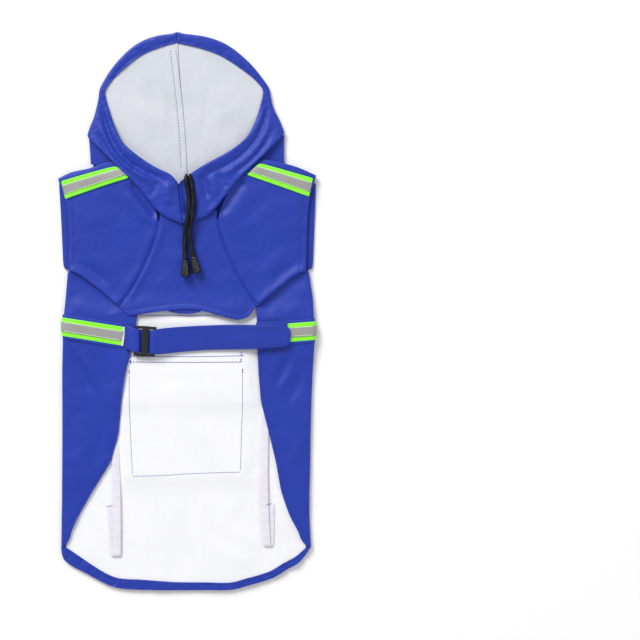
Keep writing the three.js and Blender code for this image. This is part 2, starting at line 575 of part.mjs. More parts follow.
// Back with its leash slit, and the white lining inside it
function makeBack() {
  const radius = SLIT.width / 2;
  const opening = new THREE.Shape()
    .absarc(SLIT.x, SLIT.bottom + radius, radius, Math.PI, 2 * Math.PI)
    .absarc(SLIT.x, SLIT.top - radius, radius, 0, Math.PI);
  const through = { depth: SLIT.depth, bevelEnabled: false, curveSegments: 4 };
  const slit = new THREE.ExtrudeGeometry(opening, through).translate(0, 0, -SLIT.depth / 2);
  const back = panel(backGrid(() => FOLD_REACH + SEAM_GAP, 0, NECK_SHARES), backLow, CLOTH);
  add('back', 'cloth', cut(back, slit));
  const liningMargin = (y) => (y > 40 ? 11.9 : 7);
  const lining = panel(backGrid(liningMargin, 4, LINING_SHARES), (x, y) => backHigh(x, y) + SEAM_GAP, LINING);
  add('back_lining', 'lining', cut(lining, slit));
}

// Turned-up hem that lies on the lining along the rounded bottom edge
function makeBottomHem() {
  const outline = smoothLine(HEM.map(({ x, y }) => ({ x, y }))).getPoints(HEM_STEPS);
  const inner = smoothLine(HEM.map(({ ix, iy }) => ({ x: ix, y: iy }))).getPoints(HEM_STEPS);
  add('bottom_hem', 'cloth', panel(ruled(outline, inner, 2), (x, y) => liningHigh(x, y) + SEAM_GAP, CLOTH));
}

// Pocket and its flap on the outside of the back, and the waist tape across it
function makeUnderside() {
  const { left, right, bottom, top } = POCKET;
  const step = POCKET_FLAP.bottom;
  const pocket = [bottom, step - STEP_RUN, step, top].map((y) => [left, right].map((x) => ({ x, y })));
  const lifted = (x, y) => (CLOTH + SEAM_GAP) * rise(y, step - STEP_RUN, step);
  add('pocket', 'cloth', panel(pocket, lifted, CLOTH));
  const flap = [POCKET_FLAP.bottom, POCKET_FLAP.top].map((y) => [POCKET_FLAP.left, POCKET_FLAP.right]
    .map((x) => ({ x, y })));
  add('pocket_flap', 'cloth', panel(flap, () => 0, CLOTH));
  const strip = (width) => [-1, 1].map((edge) => ['left', 'right'].map((side) => {
    const x = column(SIDES, 'y', WAIST_Y, side) - outwardOf(side) * (FOLD_REACH + SEAM_GAP);
    return { x, y: waistMiddle(x) + edge * width / 2 };
  }));
  add('waist_tape_back', 'tape', panel(strip(WAIST_TAPE_WIDTH), () => FILM + SEAM_GAP, TAPE));
  add('waist_film_back', 'film', panel(strip(FILM_WIDTH), () => 0, FILM));
}

// Side of the coat that is folded over onto the lining
function makeFlap(side) {
  const [edge, inner] = side === 'left' ? ['left', 'flapLeft'] : ['right', 'flapRight'];
  const grid = FLAP_ROWS.map(({ y, tilt = 0, lift = 0 }) => {
    const from = column(SIDES, 'y', y, edge);
    const to = column(SIDES, 'y', y, inner);
    return [0, 0.3, 0.65, 1].map((share) => ({
      x: lerp(from, to, share),
      y: y - tilt * WAIST_TILT * (from / HALF_WIDTH) + lift * clamp(share / 0.3, 0, 1),
    }));
  });
  add(`flap_${side}`, 'cloth', panel(grid, flapLow, CLOTH, { left: { reach: FOLD_REACH, low: backLow } }));
}

// Waist tape and its film where they turn over the side and end on the flap
function makeFrontTape(side) {
  const { y, endX, endY, lean } = FRONT_TAPES[side];
  const edge = column(SIDES, 'y', WAIST_Y, side);
  const strip = (width, proud) => [-1, 0, 1].map((row) => [0, 0.2, 0.45, 0.72, 1].map((share) => ({
    x: lerp(edge + outwardOf(side) * proud, endX + lean * row, share),
    y: lerp(y, endY, share) + row * width / 2,
  })));
  const tapeProud = 2 * SEAM_GAP + TAPE;
  const filmProud = tapeProud + SEAM_GAP + FILM;
  const tapeLow = (x, place) => flapHigh(x, place) + CLEAR;
  const filmLow = (x, place) => tapeLow(x, place) + TAPE + SEAM_GAP;
  add(`waist_tape_${side}`, 'tape', panel(strip(WAIST_TAPE_WIDTH, tapeProud), tapeLow, TAPE, {
    left: { reach: FOLD_REACH + tapeProud, low: () => FILM + SEAM_GAP },
  }));
  add(`waist_film_${side}`, 'film', panel(strip(FILM_WIDTH, filmProud), filmLow, FILM, {
    left: { reach: FOLD_REACH + filmProud, low: () => 0 },
  }));
}

// Reflective tape with its film along the shoulder
function makeShoulderTape(side) {
  const { sleeve, neck } = SHOULDER_TAPES[side];
  const margin = (1 - FILM_WIDTH / WAIST_TAPE_WIDTH) / 2;
  const strip = (from, to) => [from, (from + to) / 2, to].map((share) => {
    const [a, b] = [sleeve, neck].map(([top, low]) => ({
      x: lerp(top[0], low[0], share),
      y: lerp(top[1], low[1], share),
    }));
    return [0, 0.2, 0.4, 0.6, 0.8, 1].map((run) => between(a, b, run));
  });
  const tapeLow = (x, y) => frontHigh(x, y) + 2 * SEAM_GAP;
  const filmLow = (x, y) => tapeLow(x, y) + TAPE + SEAM_GAP;
  add(`shoulder_tape_${side}`, 'tape', panel(strip(0, 1), tapeLow, TAPE));
  add(`shoulder_film_${side}`, 'film', panel(strip(margin, 1 - margin), filmLow, FILM));
}

// Turned hem of the armhole, on the inside of the back
function makeSleeveHem(side) {
  const rows = [[42.5, 9], [47, 11.4], [64, 11.4], [84, 11.4], [106, 11.4], [128, 11.4]];
  const grid = rows.map(([y, width]) => [0, 3.4, width].map((depth) => ({
    x: column(SIDES, 'y', y, side) - outwardOf(side) * depth,
    y,
  })));
  const turn = { left: { reach: 1.8, low: () => 0 } };
  add(`sleeve_hem_${side}`, 'cloth', panel(grid, () => CLOTH + SEAM_GAP, CLOTH, turn));
}

// Gathered back half of the hood, from the neckline to the outline, beside the centre seam
function makeHoodBack(side) {
  const sign = outwardOf(side);
  const neckline = HOOD_NECKLINE.filter(({ x }) => sign * x > 5);
  const seam = HOOD_SEAM.map(({ x, y }) => ({ x: x + sign * SEAM_GAP / 2, y }));
  const outline = (side === 'left' ? HOOD_LEFT : HOOD_RIGHT).slice(1, HOOD_BACK_ROWS);
  const edges = {
    bottom: [seam[0], ...(side === 'left' ? neckline.reverse() : neckline)],
    top: [seam[seam.length - 1], ...outline.map(({ ox, oy }) => ({ x: ox, y: oy }))],
    left: seam,
    right: side === 'left' ? HOOD_SIDE_LEFT : HOOD_SIDE_RIGHT,
  };
  const margin = FOLD_REACH + 1.5;
  const grid = drawIn(drawIn(fill(edges, 20, 10), 'right', margin), 'top', margin);
  add(`hood_${side}`, 'cloth', panel(grid, hoodLow, CLOTH));
}

// White lining inside the hood, reaching a little under the edge of the opening
function makeHoodLining(side) {
  const sign = outwardOf(side);
  const table = side === 'left' ? HOOD_LEFT : HOOD_RIGHT;
  const edge = table.map(({ ox, oy, ix, iy }) => {
    const share = Math.min(LINING_TUCK / Math.hypot(ox - ix, oy - iy), 0.62);
    return between({ x: ix, y: iy }, { x: ox, y: oy }, share);
  });
  const shares = [0, 0.17, 0.34, 0.5, 0.67, 0.84, 1];
  const grid = smoothLine(edge).getPoints(2 * (table.length - 1)).map(({ x, y }) => {
    const seam = column(HOOD_SEAM, 'y', y, 'x') + sign * SEAM_GAP / 2;
    return shares.map((share) => ({ x: lerp(seam, x, share), y }));
  }).filter((row) => sign * (row[row.length - 1].x - row[0].x) > 4);
  add(`hood_lining_${side}`, 'lining', panel(grid, hoodLiningLow, LINING));
}

const hoodLiningLow = (x, y) => hoodHigh(x, y) + 2 * SEAM_GAP;

// Front of the hood: a turned hem round the top of the opening, folded over at the sides and throat
function makeHoodFront(side) {
  const table = side === 'left' ? HOOD_LEFT : HOOD_RIGHT;
  const steps = 2 * (table.length - 1) + 6;
  const outer = smoothLine(table.map(({ ox, oy, z }) => ({ x: ox, y: oy, z }))).getPoints(steps);
  const inner = smoothLine(table.map(({ ix, iy, z }) => ({ x: ix, y: iy, z }))).getPoints(steps);
  const fold = { reach: FOLD_REACH, low: (x, y) => (y > HOOD_CORNER_Y ? 0 : Infinity) };
  const atEdge = (x, y, place) => place.z;
  add(`hood_front_${side}`, 'cloth', panel(ruled(outer, inner, 3), atEdge, CLOTH, { left: fold }));
}

// Flat strip that covers the centre seam inside the hood
function makeHoodSeamTape() {
  const grid = HOOD_STRIP.map(({ x, y }) => [x - 3, x, x + 3].map((place) => ({ x: place, y })));
  add('hood_seam_tape', 'lining', panel(grid, (x, y) => hoodLiningLow(x, y) + LINING + CLEAR, FILM));
}

// Side of the hood that shows between its fold and the shoulder
function makeHoodNeck(side) {
  const across = ({ x, y, ix, iy }) => [0, 0.5, 1].map((share) => between({ x, y }, { x: ix, y: iy }, share));
  const grid = HOOD_NECKS[side].map(across);
  add(`hood_neck_${side}`, 'cloth', panel(grid, () => HOOD_NECK_LOW, LINING));
}

// Shoulder and side-front panels, the chest between them, and the facing behind its hem
function makeFronts() {
  const shoulder = { reach: 2.2, low: (x, y) => (Math.abs(x) > 98 ? backHigh(x, y) + CLEAR : Infinity) };
  add('front_left', 'cloth', panel(fill(FRONT_LEFT, 10, 10), frontLow, CLOTH, { top: shoulder }));
  add('front_right', 'cloth', panel(fill(FRONT_RIGHT, 10, 10), frontLow, CLOTH, { top: shoulder }));
  add('chest', 'cloth', panel(fill(CHEST, 12, 10), frontLow, CLOTH));
  const { top, bottom } = CHEST_FACING;
  const facing = fill({ top, bottom, left: [bottom[0], top[0]], right: [bottom[4], top[2]] }, 6, 2);
  add('chest_facing', 'cloth', panel(facing, (x, y) => frontLow(x, y) - CLEAR - LINING, LINING));
}

// Belt from stations along it, each with its two edges and the height of its underside
function makeBelt(name, stations) {
  const across = ({ x, top, bottom, z }) => [top, (top + bottom) / 2, bottom].map((y) => ({ x, y, z }));
  const grid = stations.map(across);
  add(name, 'cloth', panel(grid, (x, y, place) => place.z, BELT_THICKNESS));
}

// Slide buckle: a flat frame with two slots beside a wide middle bar
function makeBuckle() {
  const { width, height, side, end, middle, depth, bow } = BUCKLE;
  const outline = (left, right, half) => [
    [left, bow - half], [(left + right) / 2, -half], [right, bow - half],
    [right, half - bow], [(left + right) / 2, half], [left, half - bow],
  ].map(([x, y]) => new THREE.Vector2(x, y));
  const frame = new THREE.Shape(outline(-width / 2, width / 2, height / 2));
  [[-width / 2 + side, -middle / 2], [middle / 2, width / 2 - side]].forEach(([left, right]) => {
    frame.holes.push(new THREE.Path(outline(left, right, height / 2 - end)));
  });
  const body = new THREE.ExtrudeGeometry(frame, { depth, bevelEnabled: false });
  const mesh = add('buckle', 'plastic', body);
  mesh.rotation.z = THREE.MathUtils.degToRad(BUCKLE.tilt);
  mesh.position.set(BUCKLE.x, BUCKLE.y, BUCKLE.z);
}

function makeElastic(side) {
  const line = smoothLine(ELASTICS[side]).points;
  add(`elastic_${side}`, 'elastic', band(line, ELASTIC.width, ELASTIC.thickness));
}

// Drawstring strand with its bell-shaped end
function makeCord(side) {
  const route = side === 'left' ? CORD_LEFT : CORD_RIGHT;
  const section = new THREE.Shape(Array.from({ length: CORD_SIDES }, (_, n) => {
    const angle = 2 * Math.PI * (n + 0.5) / CORD_SIDES;
    return new THREE.Vector2(Math.cos(angle), Math.sin(angle)).multiplyScalar(CORD_DIAMETER / 2);
  }));
  const path = { steps: 14, extrudePath: smoothLine(route) };
  add(`cord_${side}`, 'cord', new THREE.ExtrudeGeometry(section, path));
  const { length, top, bottom } = CORD_END;
  const profile = [
    [0, 0], [top * 0.8, 0], [top, 1], [lerp(top, bottom, 0.5), length * 0.45], [bottom, length * 0.8],
    [bottom * 0.9, length * 0.95], [bottom * 0.6, length], [0, length],
  ].map(([radius, down]) => new THREE.Vector2(radius, -down)).reverse();
  const end = add(`cord_end_${side}`, 'plastic', new THREE.LatheGeometry(profile, 12));
  const tip = route[route.length - 1];
  end.rotation.z = THREE.MathUtils.degToRad(CORD_END_TURN[side]);
  end.position.set(tip.x, tip.y - SEAM_GAP, tip.z);
}

[makeBack, makeUnderside, makeBottomHem, makeHoodSeamTape, makeFronts, makeBuckle].forEach((make) => make());
makeBelt('belt_left', BELT_LEFT);
makeBelt('belt_right', BELT_RIGHT);
['left', 'right'].forEach((side) => {
  [
    makeFlap, makeFrontTape, makeShoulderTape, makeSleeveHem, makeHoodBack, makeHoodLining, makeHoodFront,
    makeHoodNeck, makeElastic, makeCord,
  ].forEach((make) => make(side));
});
group.position.x = CENTRE_SHIFT;

export default group;
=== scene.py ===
"""Looks of a hooded dog raincoat that lies flat on its back, belly side up.

Each cloth piece is a smooth copy of its solid, with rounded edges, creases and sewing. Sizes in the
tables are millimetres from the middle of the coat, +X to the right, +Y to the hood, +Z up.
"""
import logging
import math
from collections.abc import Sequence
from dataclasses import dataclass
from enum import Enum

import bmesh
import bpy
import numpy as np
from mathutils import Matrix, Vector
from mathutils.bvhtree import BVHTree


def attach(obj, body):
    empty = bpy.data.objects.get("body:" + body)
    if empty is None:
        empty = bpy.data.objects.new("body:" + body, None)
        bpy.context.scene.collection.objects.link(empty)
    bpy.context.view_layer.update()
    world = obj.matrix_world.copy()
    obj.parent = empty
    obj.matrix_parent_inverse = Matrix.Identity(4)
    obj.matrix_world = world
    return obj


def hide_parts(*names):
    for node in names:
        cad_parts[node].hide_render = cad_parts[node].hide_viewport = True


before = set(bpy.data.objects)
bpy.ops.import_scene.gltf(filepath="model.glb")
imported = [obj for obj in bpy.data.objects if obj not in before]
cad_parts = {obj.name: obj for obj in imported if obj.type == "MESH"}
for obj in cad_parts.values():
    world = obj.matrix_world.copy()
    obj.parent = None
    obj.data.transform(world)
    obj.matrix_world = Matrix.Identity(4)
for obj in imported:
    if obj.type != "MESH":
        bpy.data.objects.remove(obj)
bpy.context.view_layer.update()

log = logging.getLogger("raincoat")

MM = 0.001
CENTRE_SHIFT = 0.93
ROUNDING = 0.38
WALL_ANGLE = math.radians(62)
QUAD_ANGLE = math.radians(60)
WELD = 0.01
BOARD_DROP = 0.2
RAY_START = 50
# Strips behind seams: half width, drop below the cloth and thickness. Stitches: how far they stand out and are high
STRIP_HALF, STRIP_DROP, STRIP_THICKNESS = 1.5, 0.8, 0.6
STITCH_OUT, STITCH_HEIGHT, LOWEST_STITCH = 0.06, 0.22, 0.1

Point = tuple[float, float]
Route = Sequence[Point]


class Held(Enum):
    """How a sheet of cloth is held."""

    LAID = "laid"
    FOLDED = "folded"
    GATHERED = "gathered"
    STRETCHED = "stretched"


class Layer(Enum):
    """Layer of the laid-out coat, from the table up."""

    OUTSIDE = "outside"
    LINING = "lining"
    HOOD_LINING = "hood lining"
    HEM = "bottom hem"
    FLAP = "side flaps"
    FRONT = "front panels"
    HOOD_FOLD = "folded hood"
    BELT = "belt"


# Colour and node helpers


def linear(colour: str) -> tuple[float, float, float, float]:
    """Turns an sRGB hex colour into a linear colour.

    Args:
        colour: Six hex digits with a leading #.

    Returns:
        Linear red, green, blue and an alpha of 1.
    """
    parts = [int(colour[place:place + 2], 16) / 255 for place in (1, 3, 5)]
    curve = [part / 12.92 if part <= 0.04045 else ((part + 0.055) / 1.055) ** 2.4 for part in parts]
    return (curve[0], curve[1], curve[2], 1.0)


def add_node(material: bpy.types.Material, kind: str, links: dict | None = None, **settings) -> bpy.types.Node:
    """Adds a node with its settings and links.

    Args:
        material: Material whose tree takes the node.
        kind: Blender's name of the node type.
        links: Input name or number to an output socket, or to a plain value.
        settings: Attributes of the node.

    Returns:
        The new node.
    """
    node = material.node_tree.nodes.new(kind)
    for name, value in settings.items():
        setattr(node, name, value)
    for name, value in (links or {}).items():
        if isinstance(value, bpy.types.NodeSocket):
            material.node_tree.links.new(value, node.inputs[name])
        else:
            node.inputs[name].default_value = value
    return node


# Colour sockets of the mix node, rows of a wave texture in one unit, and how far fine grain changes the gloss
MIX_FIRST, MIX_SECOND, MIX_RESULT = 6, 7, 2
WAVE_UNITS = 20
GLOSS_CHANGE = 0.05


@dataclass(frozen=True)
class Finish:
    """Finish of one real material, or of a copy of one with painted shade: its colour, gloss, and surface pattern.

    Pattern sizes are millimetres. The mottle changes the colour softly over a large scale.
    """

    name: str
    colour: str
    shade: str
    roughness: float
    grain: float
    relief: float
    mottle: float = 40.0
    mottle_amount: float = 0.5
    sheen: float = 0.0
    metallic: float = 0.0
    glow: float = 0.0
    rib: float = 0.0
    rib_turn: float = 0.0
    rib_relief: float = 0.0
    cells: bool = False
    specular: float = 0.5

    def build(self) -> bpy.types.Material:
        """Makes the node material.

        Returns:
            The material, on Object coordinates.
        """
        material = bpy.data.materials.new(self.name)
        material.use_nodes = True
        shader = material.node_tree.nodes["Principled BSDF"]
        place = add_node(material, "ShaderNodeTexCoord").outputs["Object"]
        broad = add_node(material, "ShaderNodeTexNoise", {
            "Vector": place, "Scale": 1000 / self.mottle, "Detail": 3.0, "Roughness": 0.55})
        fine = add_node(material, "ShaderNodeTexNoise", {
            "Vector": place, "Scale": 1000 / self.grain, "Detail": 2.0, "Roughness": 0.6})
        soft = add_node(material, "ShaderNodeMapRange", {
            "Value": broad.outputs["Fac"], "From Min": 0.3, "From Max": 0.7, "To Max": self.mottle_amount})
        paint = add_node(material, "ShaderNodeMix", {
            "Factor": soft.outputs["Result"], MIX_FIRST: linear(self.colour), MIX_SECOND: linear(self.shade)},
            data_type="RGBA")
        material.node_tree.links.new(paint.outputs[MIX_RESULT], shader.inputs["Base Color"])
        gloss = add_node(material, "ShaderNodeMapRange", {
            "Value": fine.outputs["Fac"], "To Min": self.roughness - GLOSS_CHANGE,
            "To Max": self.roughness + GLOSS_CHANGE})
        material.node_tree.links.new(gloss.outputs["Result"], shader.inputs["Roughness"])
        height = fine.outputs["Fac"]
        if self.cells:
            beads = add_node(material, "ShaderNodeTexVoronoi", {"Vector": place, "Scale": 1000 / self.grain})
            height = beads.outputs["Distance"]
        bump = add_node(material, "ShaderNodeBump", {
            "Height": height, "Strength": 1.0, "Distance": self.relief * MM})
        if self.rib:
            turned = add_node(material, "ShaderNodeMapping", {"Vector": place})
            turned.inputs["Rotation"].default_value = (0, 0, math.radians(self.rib_turn))
            ribs = add_node(material, "ShaderNodeTexWave", {
                "Vector": turned.outputs["Vector"], "Scale": 1000 / self.rib / WAVE_UNITS, "Distortion": 0.4},
                bands_direction="X")
            bump = add_node(material, "ShaderNodeBump", {
                "Height": ribs.outputs["Fac"], "Normal": bump.outputs["Normal"], "Strength": 1.0,
                "Distance": self.rib_relief * MM})
        material.node_tree.links.new(bump.outputs["Normal"], shader.inputs["Normal"])
        shader.inputs["Metallic"].default_value = self.metallic
        shader.inputs["Specular IOR Level"].default_value = self.specular
        shader.inputs["Sheen Weight"].default_value = self.sheen
        shader.inputs["Sheen Roughness"].default_value = 0.4
        shader.inputs["Emission Color"].default_value = linear(self.colour)
        shader.inputs["Emission Strength"].default_value = self.glow
        return material


# Polyester taffeta with a thin polyurethane coat: satin, even, with a very fine grain
RAIN_CLOTH = Finish("coated_polyester_taffeta", "#1A38AB", "#17329D", 0.54, 0.9, 0.05, mottle=55,
                    sheen=0.03, specular=0.42)
# White tricot lining: matt and a little fuzzy, with fine knit ribs drawn at twice their spacing
LINING_KNIT = Finish("white_tricot_lining", "#F7F7FA", "#EEEFF4", 0.9, 1.1, 0.16, mottle=35, sheen=0.2,
                     rib=1.5, rib_turn=0, rib_relief=0.05)
# The same white tricot with painted shade: a greyer, cooler colour for where it lies in the shade of the hood
HOOD_KNIT_PAINTED_SHADE = Finish("tricot_lining_painted_shade", "#D6D9E0", "#C8CCD4", 0.92, 1.1, 0.18, mottle=45, mottle_amount=0.8,
                   sheen=0.2, rib=1.5, rib_turn=8, rib_relief=0.05)
# Fluorescent warp-knit tape: it gives back more light than plain dye does, hence the small glow
LIME_TAPE = Finish("fluorescent_polyester_tape", "#8CFB2E", "#7DEE24", 0.7, 0.8, 0.08, mottle=14, sheen=0.1,
                   glow=0.1, rib=1.2, rib_turn=90, rib_relief=0.1)
# Film of glass beads on grey glue: an even grey with fine beads, drawn at four times their size
BEAD_FILM = Finish("glass_bead_film", "#A2A1A0", "#979695", 0.5, 0.55, 0.06, mottle=12, metallic=0.12, cells=True)
# Knitted elastic: white, matt, with ribs across
KNITTED_ELASTIC = Finish("knitted_elastic", "#ECE9F3", "#DEDAE8", 0.88, 0.7, 0.1, mottle=10, sheen=0.2,
                         rib=1.3, rib_turn=90, rib_relief=0.12)
# Braided polyester cord: black, matt, with slanting strands
BRAIDED_CORD = Finish("braided_polyester_cord", "#08080B", "#040405", 0.62, 0.6, 0.2, mottle=4,
                      rib=1.5, rib_turn=38, rib_relief=0.5, specular=0.35)
# Moulded acetal: black with a satin skin from a fine-sparked mould
ACETAL = Finish("moulded_acetal", "#1A1C1E", "#121416", 0.26, 0.5, 0.02, mottle=9, specular=0.7)
# Spun polyester thread
BLUE_THREAD = Finish("blue_polyester_thread", "#2140B8", "#1B369F", 0.6, 0.4, 0.05, mottle=6, sheen=0.2)
CLOTH_THREAD = Finish("cloth_blue_thread", "#12247E", "#0F1E6C", 0.6, 0.4, 0.05, mottle=6, sheen=0.2)
LIME_THREAD = Finish("lime_polyester_thread", "#A5FF5A", "#94F548", 0.6, 0.4, 0.05, mottle=6, sheen=0.2)
PALE_THREAD = Finish("pale_polyester_thread", "#E2F6CE", "#D2E8BE", 0.6, 0.4, 0.05, mottle=6, sheen=0.2)
# Matt painted board under the coat
PALE_BOARD = Finish("matt_pale_board", "#FFFFFF", "#FDFDFD", 0.9, 30.0, 0.0, mottle=400)

_made: dict[str, bpy.types.Material] = {}


def dress(piece: bpy.types.Object, finish: Finish) -> None:
    """Gives a piece one finish, made once for all pieces.

    Args:
        piece: Object to dress.
        finish: Its finish.
    """
    if finish.name not in _made:
        _made[finish.name] = finish.build()
    piece.data.materials.clear()
    piece.data.materials.append(_made[finish.name])


def finish_piece(piece: bpy.types.Object, finish: Finish) -> bpy.types.Object:
    """Dresses a piece and lets it ride with the coat.

    Args:
        piece: Object to finish.
        finish: Its finish.

    Returns:
        The same object.
    """
    dress(piece, finish)
    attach(piece, "root")
    return piece


# Creases and sewing grooves as heights over the coat


def smooth_step(values: np.ndarray, low: float, high: float) -> np.ndarray:
    """Smooth rise from 0 at one value to 1 at another.

    Args:
        values: Values to turn.
        low: Value that gives 0.
        high: Value that gives 1.

    Returns:
        Shares from 0 to 1.
    """
    share = np.clip((values - low) / (high - low), 0, 1)
    return share * share * (3 - 2 * share)


def along(x: np.ndarray, y: np.ndarray, route: Route) -> tuple[np.ndarray, np.ndarray]:
    """Distance of many points to a route, and how far along it they lie.

    Args:
        x: X of the points.
        y: Y of the points.
        route: Corners of the route.

    Returns:
        Distances, and shares of the route's length from 0 to 1.
    """
    steps = [math.dist(a, b) for a, b in zip(route, route[1:])]
    best = np.full(x.shape, np.inf)
    share = np.zeros(x.shape)
    done = 0.0
    for (ax, ay), (bx, by), step in zip(route, route[1:], steps):
        part = np.clip(((x - ax) * (bx - ax) + (y - ay) * (by - ay)) / (step * step), 0, 1)
        distance = np.hypot(x - ax - part * (bx - ax), y - ay - part * (by - ay))
        nearer = distance < best
        best = np.where(nearer, distance, best)
        share = np.where(nearer, (done + part * step) / sum(steps), share)
        done += step
    return best, share


def rounded(route: Route, pieces: int = 5) -> list[Point]:
    """Smooth line through the corners of a route.

    Args:
        route: Corners of the route.
        pieces: Parts that each side of the route is split into.

    Returns:
        Places along the line, with the same ends.
    """
    knots = [np.array(corner, dtype=float) for corner in route]
    knots = [2 * knots[0] - knots[1], *knots, 2 * knots[-1] - knots[-2]]
    line = []
    for a, b, c, d in zip(knots, knots[1:], knots[2:], knots[3:]):
        for step in range(pieces):
            t = step / pieces
            place = b + ((c - a) * t + (2 * a - 5 * b + 4 * c - d) * t ** 2 + (3 * b - a - 3 * c + d) * t ** 3) / 2
            line.append((float(place[0]), float(place[1])))
    return [*line, route[-1]]


@dataclass(frozen=True)
class Crease:
    """Soft ridge or trough along a route: its half width and its height, which fades to both ends."""

    route: Route
    width: float
    height: float
    fade: float = 0.35

    def lift(self, x: np.ndarray, y: np.ndarray) -> np.ndarray:
        """Height of the crease at many points.

        Args:
            x: X of the points.
            y: Y of the points.

        Returns:
            Heights in millimetres.
        """
        lifts = np.zeros(x.shape)
        line = rounded(self.route)
        reach = 3 * self.width
        (left, right), (low, high) = [(min(row) - reach, max(row) + reach) for row in zip(*line)]
        near = (x > left) & (x < right) & (y > low) & (y < high)
        if near.any():
            distance, share = along(x[near], y[near], line)
            ends = smooth_step(share, 0, self.fade) * smooth_step(1 - share, 0, self.fade)
            lifts[near] = self.height * ends * np.exp(-(distance / self.width) ** 2)
        return lifts


@dataclass(frozen=True)
class Pull:
    """Soft shift of the cloth round a place: where, how far round, and by how much across and up."""

    x: float
    y: float
    reach: float
    across: float
    up: float


def ripple(x: np.ndarray, y: np.ndarray, length: float) -> np.ndarray:
    """Uneven waves of about one length, the same on each run.

    Args:
        x: X of the points.
        y: Y of the points.
        length: Length of the waves in millimetres.

    Returns:
        Values from about -1 to 1.
    """
    waves = np.zeros(x.shape)
    for turn, stretch, start in ((0.3, 1.0, 0.0), (1.5, 0.8, 1.7), (2.4, 1.25, 4.1), (0.9, 1.6, 2.9), (2.0, 0.6, 5.3)):
        across = x * math.cos(turn) + y * math.sin(turn)
        bend = np.sin(2 * math.pi * (x * math.sin(turn) - y * math.cos(turn)) / (2.7 * length * stretch) + start)
        waves += np.sin(2 * math.pi * across / (length * stretch) + start + 1.1 * bend)
    return waves / 3.2


# Routes that creases and sewing share: seams and hems of the belly side
ALLOWANCE_LEFT: Route = ((-68.3, 5.2), (-50.95, 32.05), (-35.65, 66.25), (-28.65, 92), (-28.8, 97))
HOOD_TOP: Route = ((-11.1, 279.2), (-12.2, 268.8))
THROAT: Route = ((-9.6, 127), (-8.2, 117), (-6.6, 102), (-5.3, 88))
ALLOWANCE_RIGHT: Route = ((67.7, 5.2), (56.3, 23.7), (46.8, 41), (38.1, 60.1), (31.4, 79.2), (28.8, 94), (29, 99))
SEAM_LEFT: Route = ((-28.6, 99), (-28.6, 92.8), (-35.6, 66.3), (-50.9, 32.1), (-68.1, 6.6))
SEAM_RIGHT: Route = ((28.8, 100), (28.8, 94), (31.4, 79.2), (38.1, 60.1), (46.8, 41), (56.3, 23.7), (67.7, 6.5))
CHEST_HEM: Route = ((-61.5, 2.4), (-50.4, 3.1), (-19.4, 7.2), (-1.7, 8.4), (13.2, 7.1), (32.8, 1.8), (48.8, -2.4),
                    (56.2, -2.0), (62, 4))
SLEEVE_LEFT: Route = ((-113.4, 44), (-113, 62.5), (-114.8, 103.7), (-116.6, 112))
SLEEVE_RIGHT: Route = ((111.8, 43), (113, 89.2), (115.4, 113))
FOLD_LEFT: Route = ((-119, 41), (-109.9, 38.7), (-99.7, 31.8), (-87.5, 22.8), (-69, 6.6))
FOLD_RIGHT: Route = ((117, 40.4), (109.8, 39.6), (91.6, 26.4), (73.4, 11.2), (68.4, 7))
CASING_LEFT: Route = ((-86, 214), (-84.4, 198), (-82.6, 184), (-75.6, 166), (-63, 152.4), (-49, 142.6), (-32, 133.4),
                      (-21, 125), (-14, 118))
CASING_RIGHT: Route = ((77.4, 214), (77.2, 202), (74.6, 186), (66.6, 170), (54.6, 156.6), (41, 146.6), (26, 139.6),
                       (15, 133), (5, 124))
HEM_TOP_LEFT: Route = ((-13.5, 270.6), (-31.4, 265.6), (-49.4, 257.4), (-66.6, 243.8), (-77.6, 230.4))
HEM_TOP_RIGHT: Route = ((-9, 270.6), (10.4, 266.2), (33, 257.6), (53, 244.6), (68.6, 230.8))
FLAP_LEFT_HEM: Route = ((-56.6, -34), (-58.8, -48), (-66, -66), (-70, -92), (-73.4, -124), (-81, -151), (-99.2, -181),
                        (-112.4, -204), (-119.4, -218))
FLAP_RIGHT_HEM: Route = ((72.2, -33), (73.2, -62), (75.8, -90), (84, -121), (90.8, -149), (96.2, -179), (104.6, -203),
                         (113.2, -219))

BAND_ROW: Route = ((-116, -240), (-101.6, -252), (-83.4, -263.4), (-69.4, -268), (-49, -269.2), (-13.7, -271.6),
                   (20, -271.8), (42.8, -272), (58, -268), (82, -261.2), (95.6, -253), (109, -245))

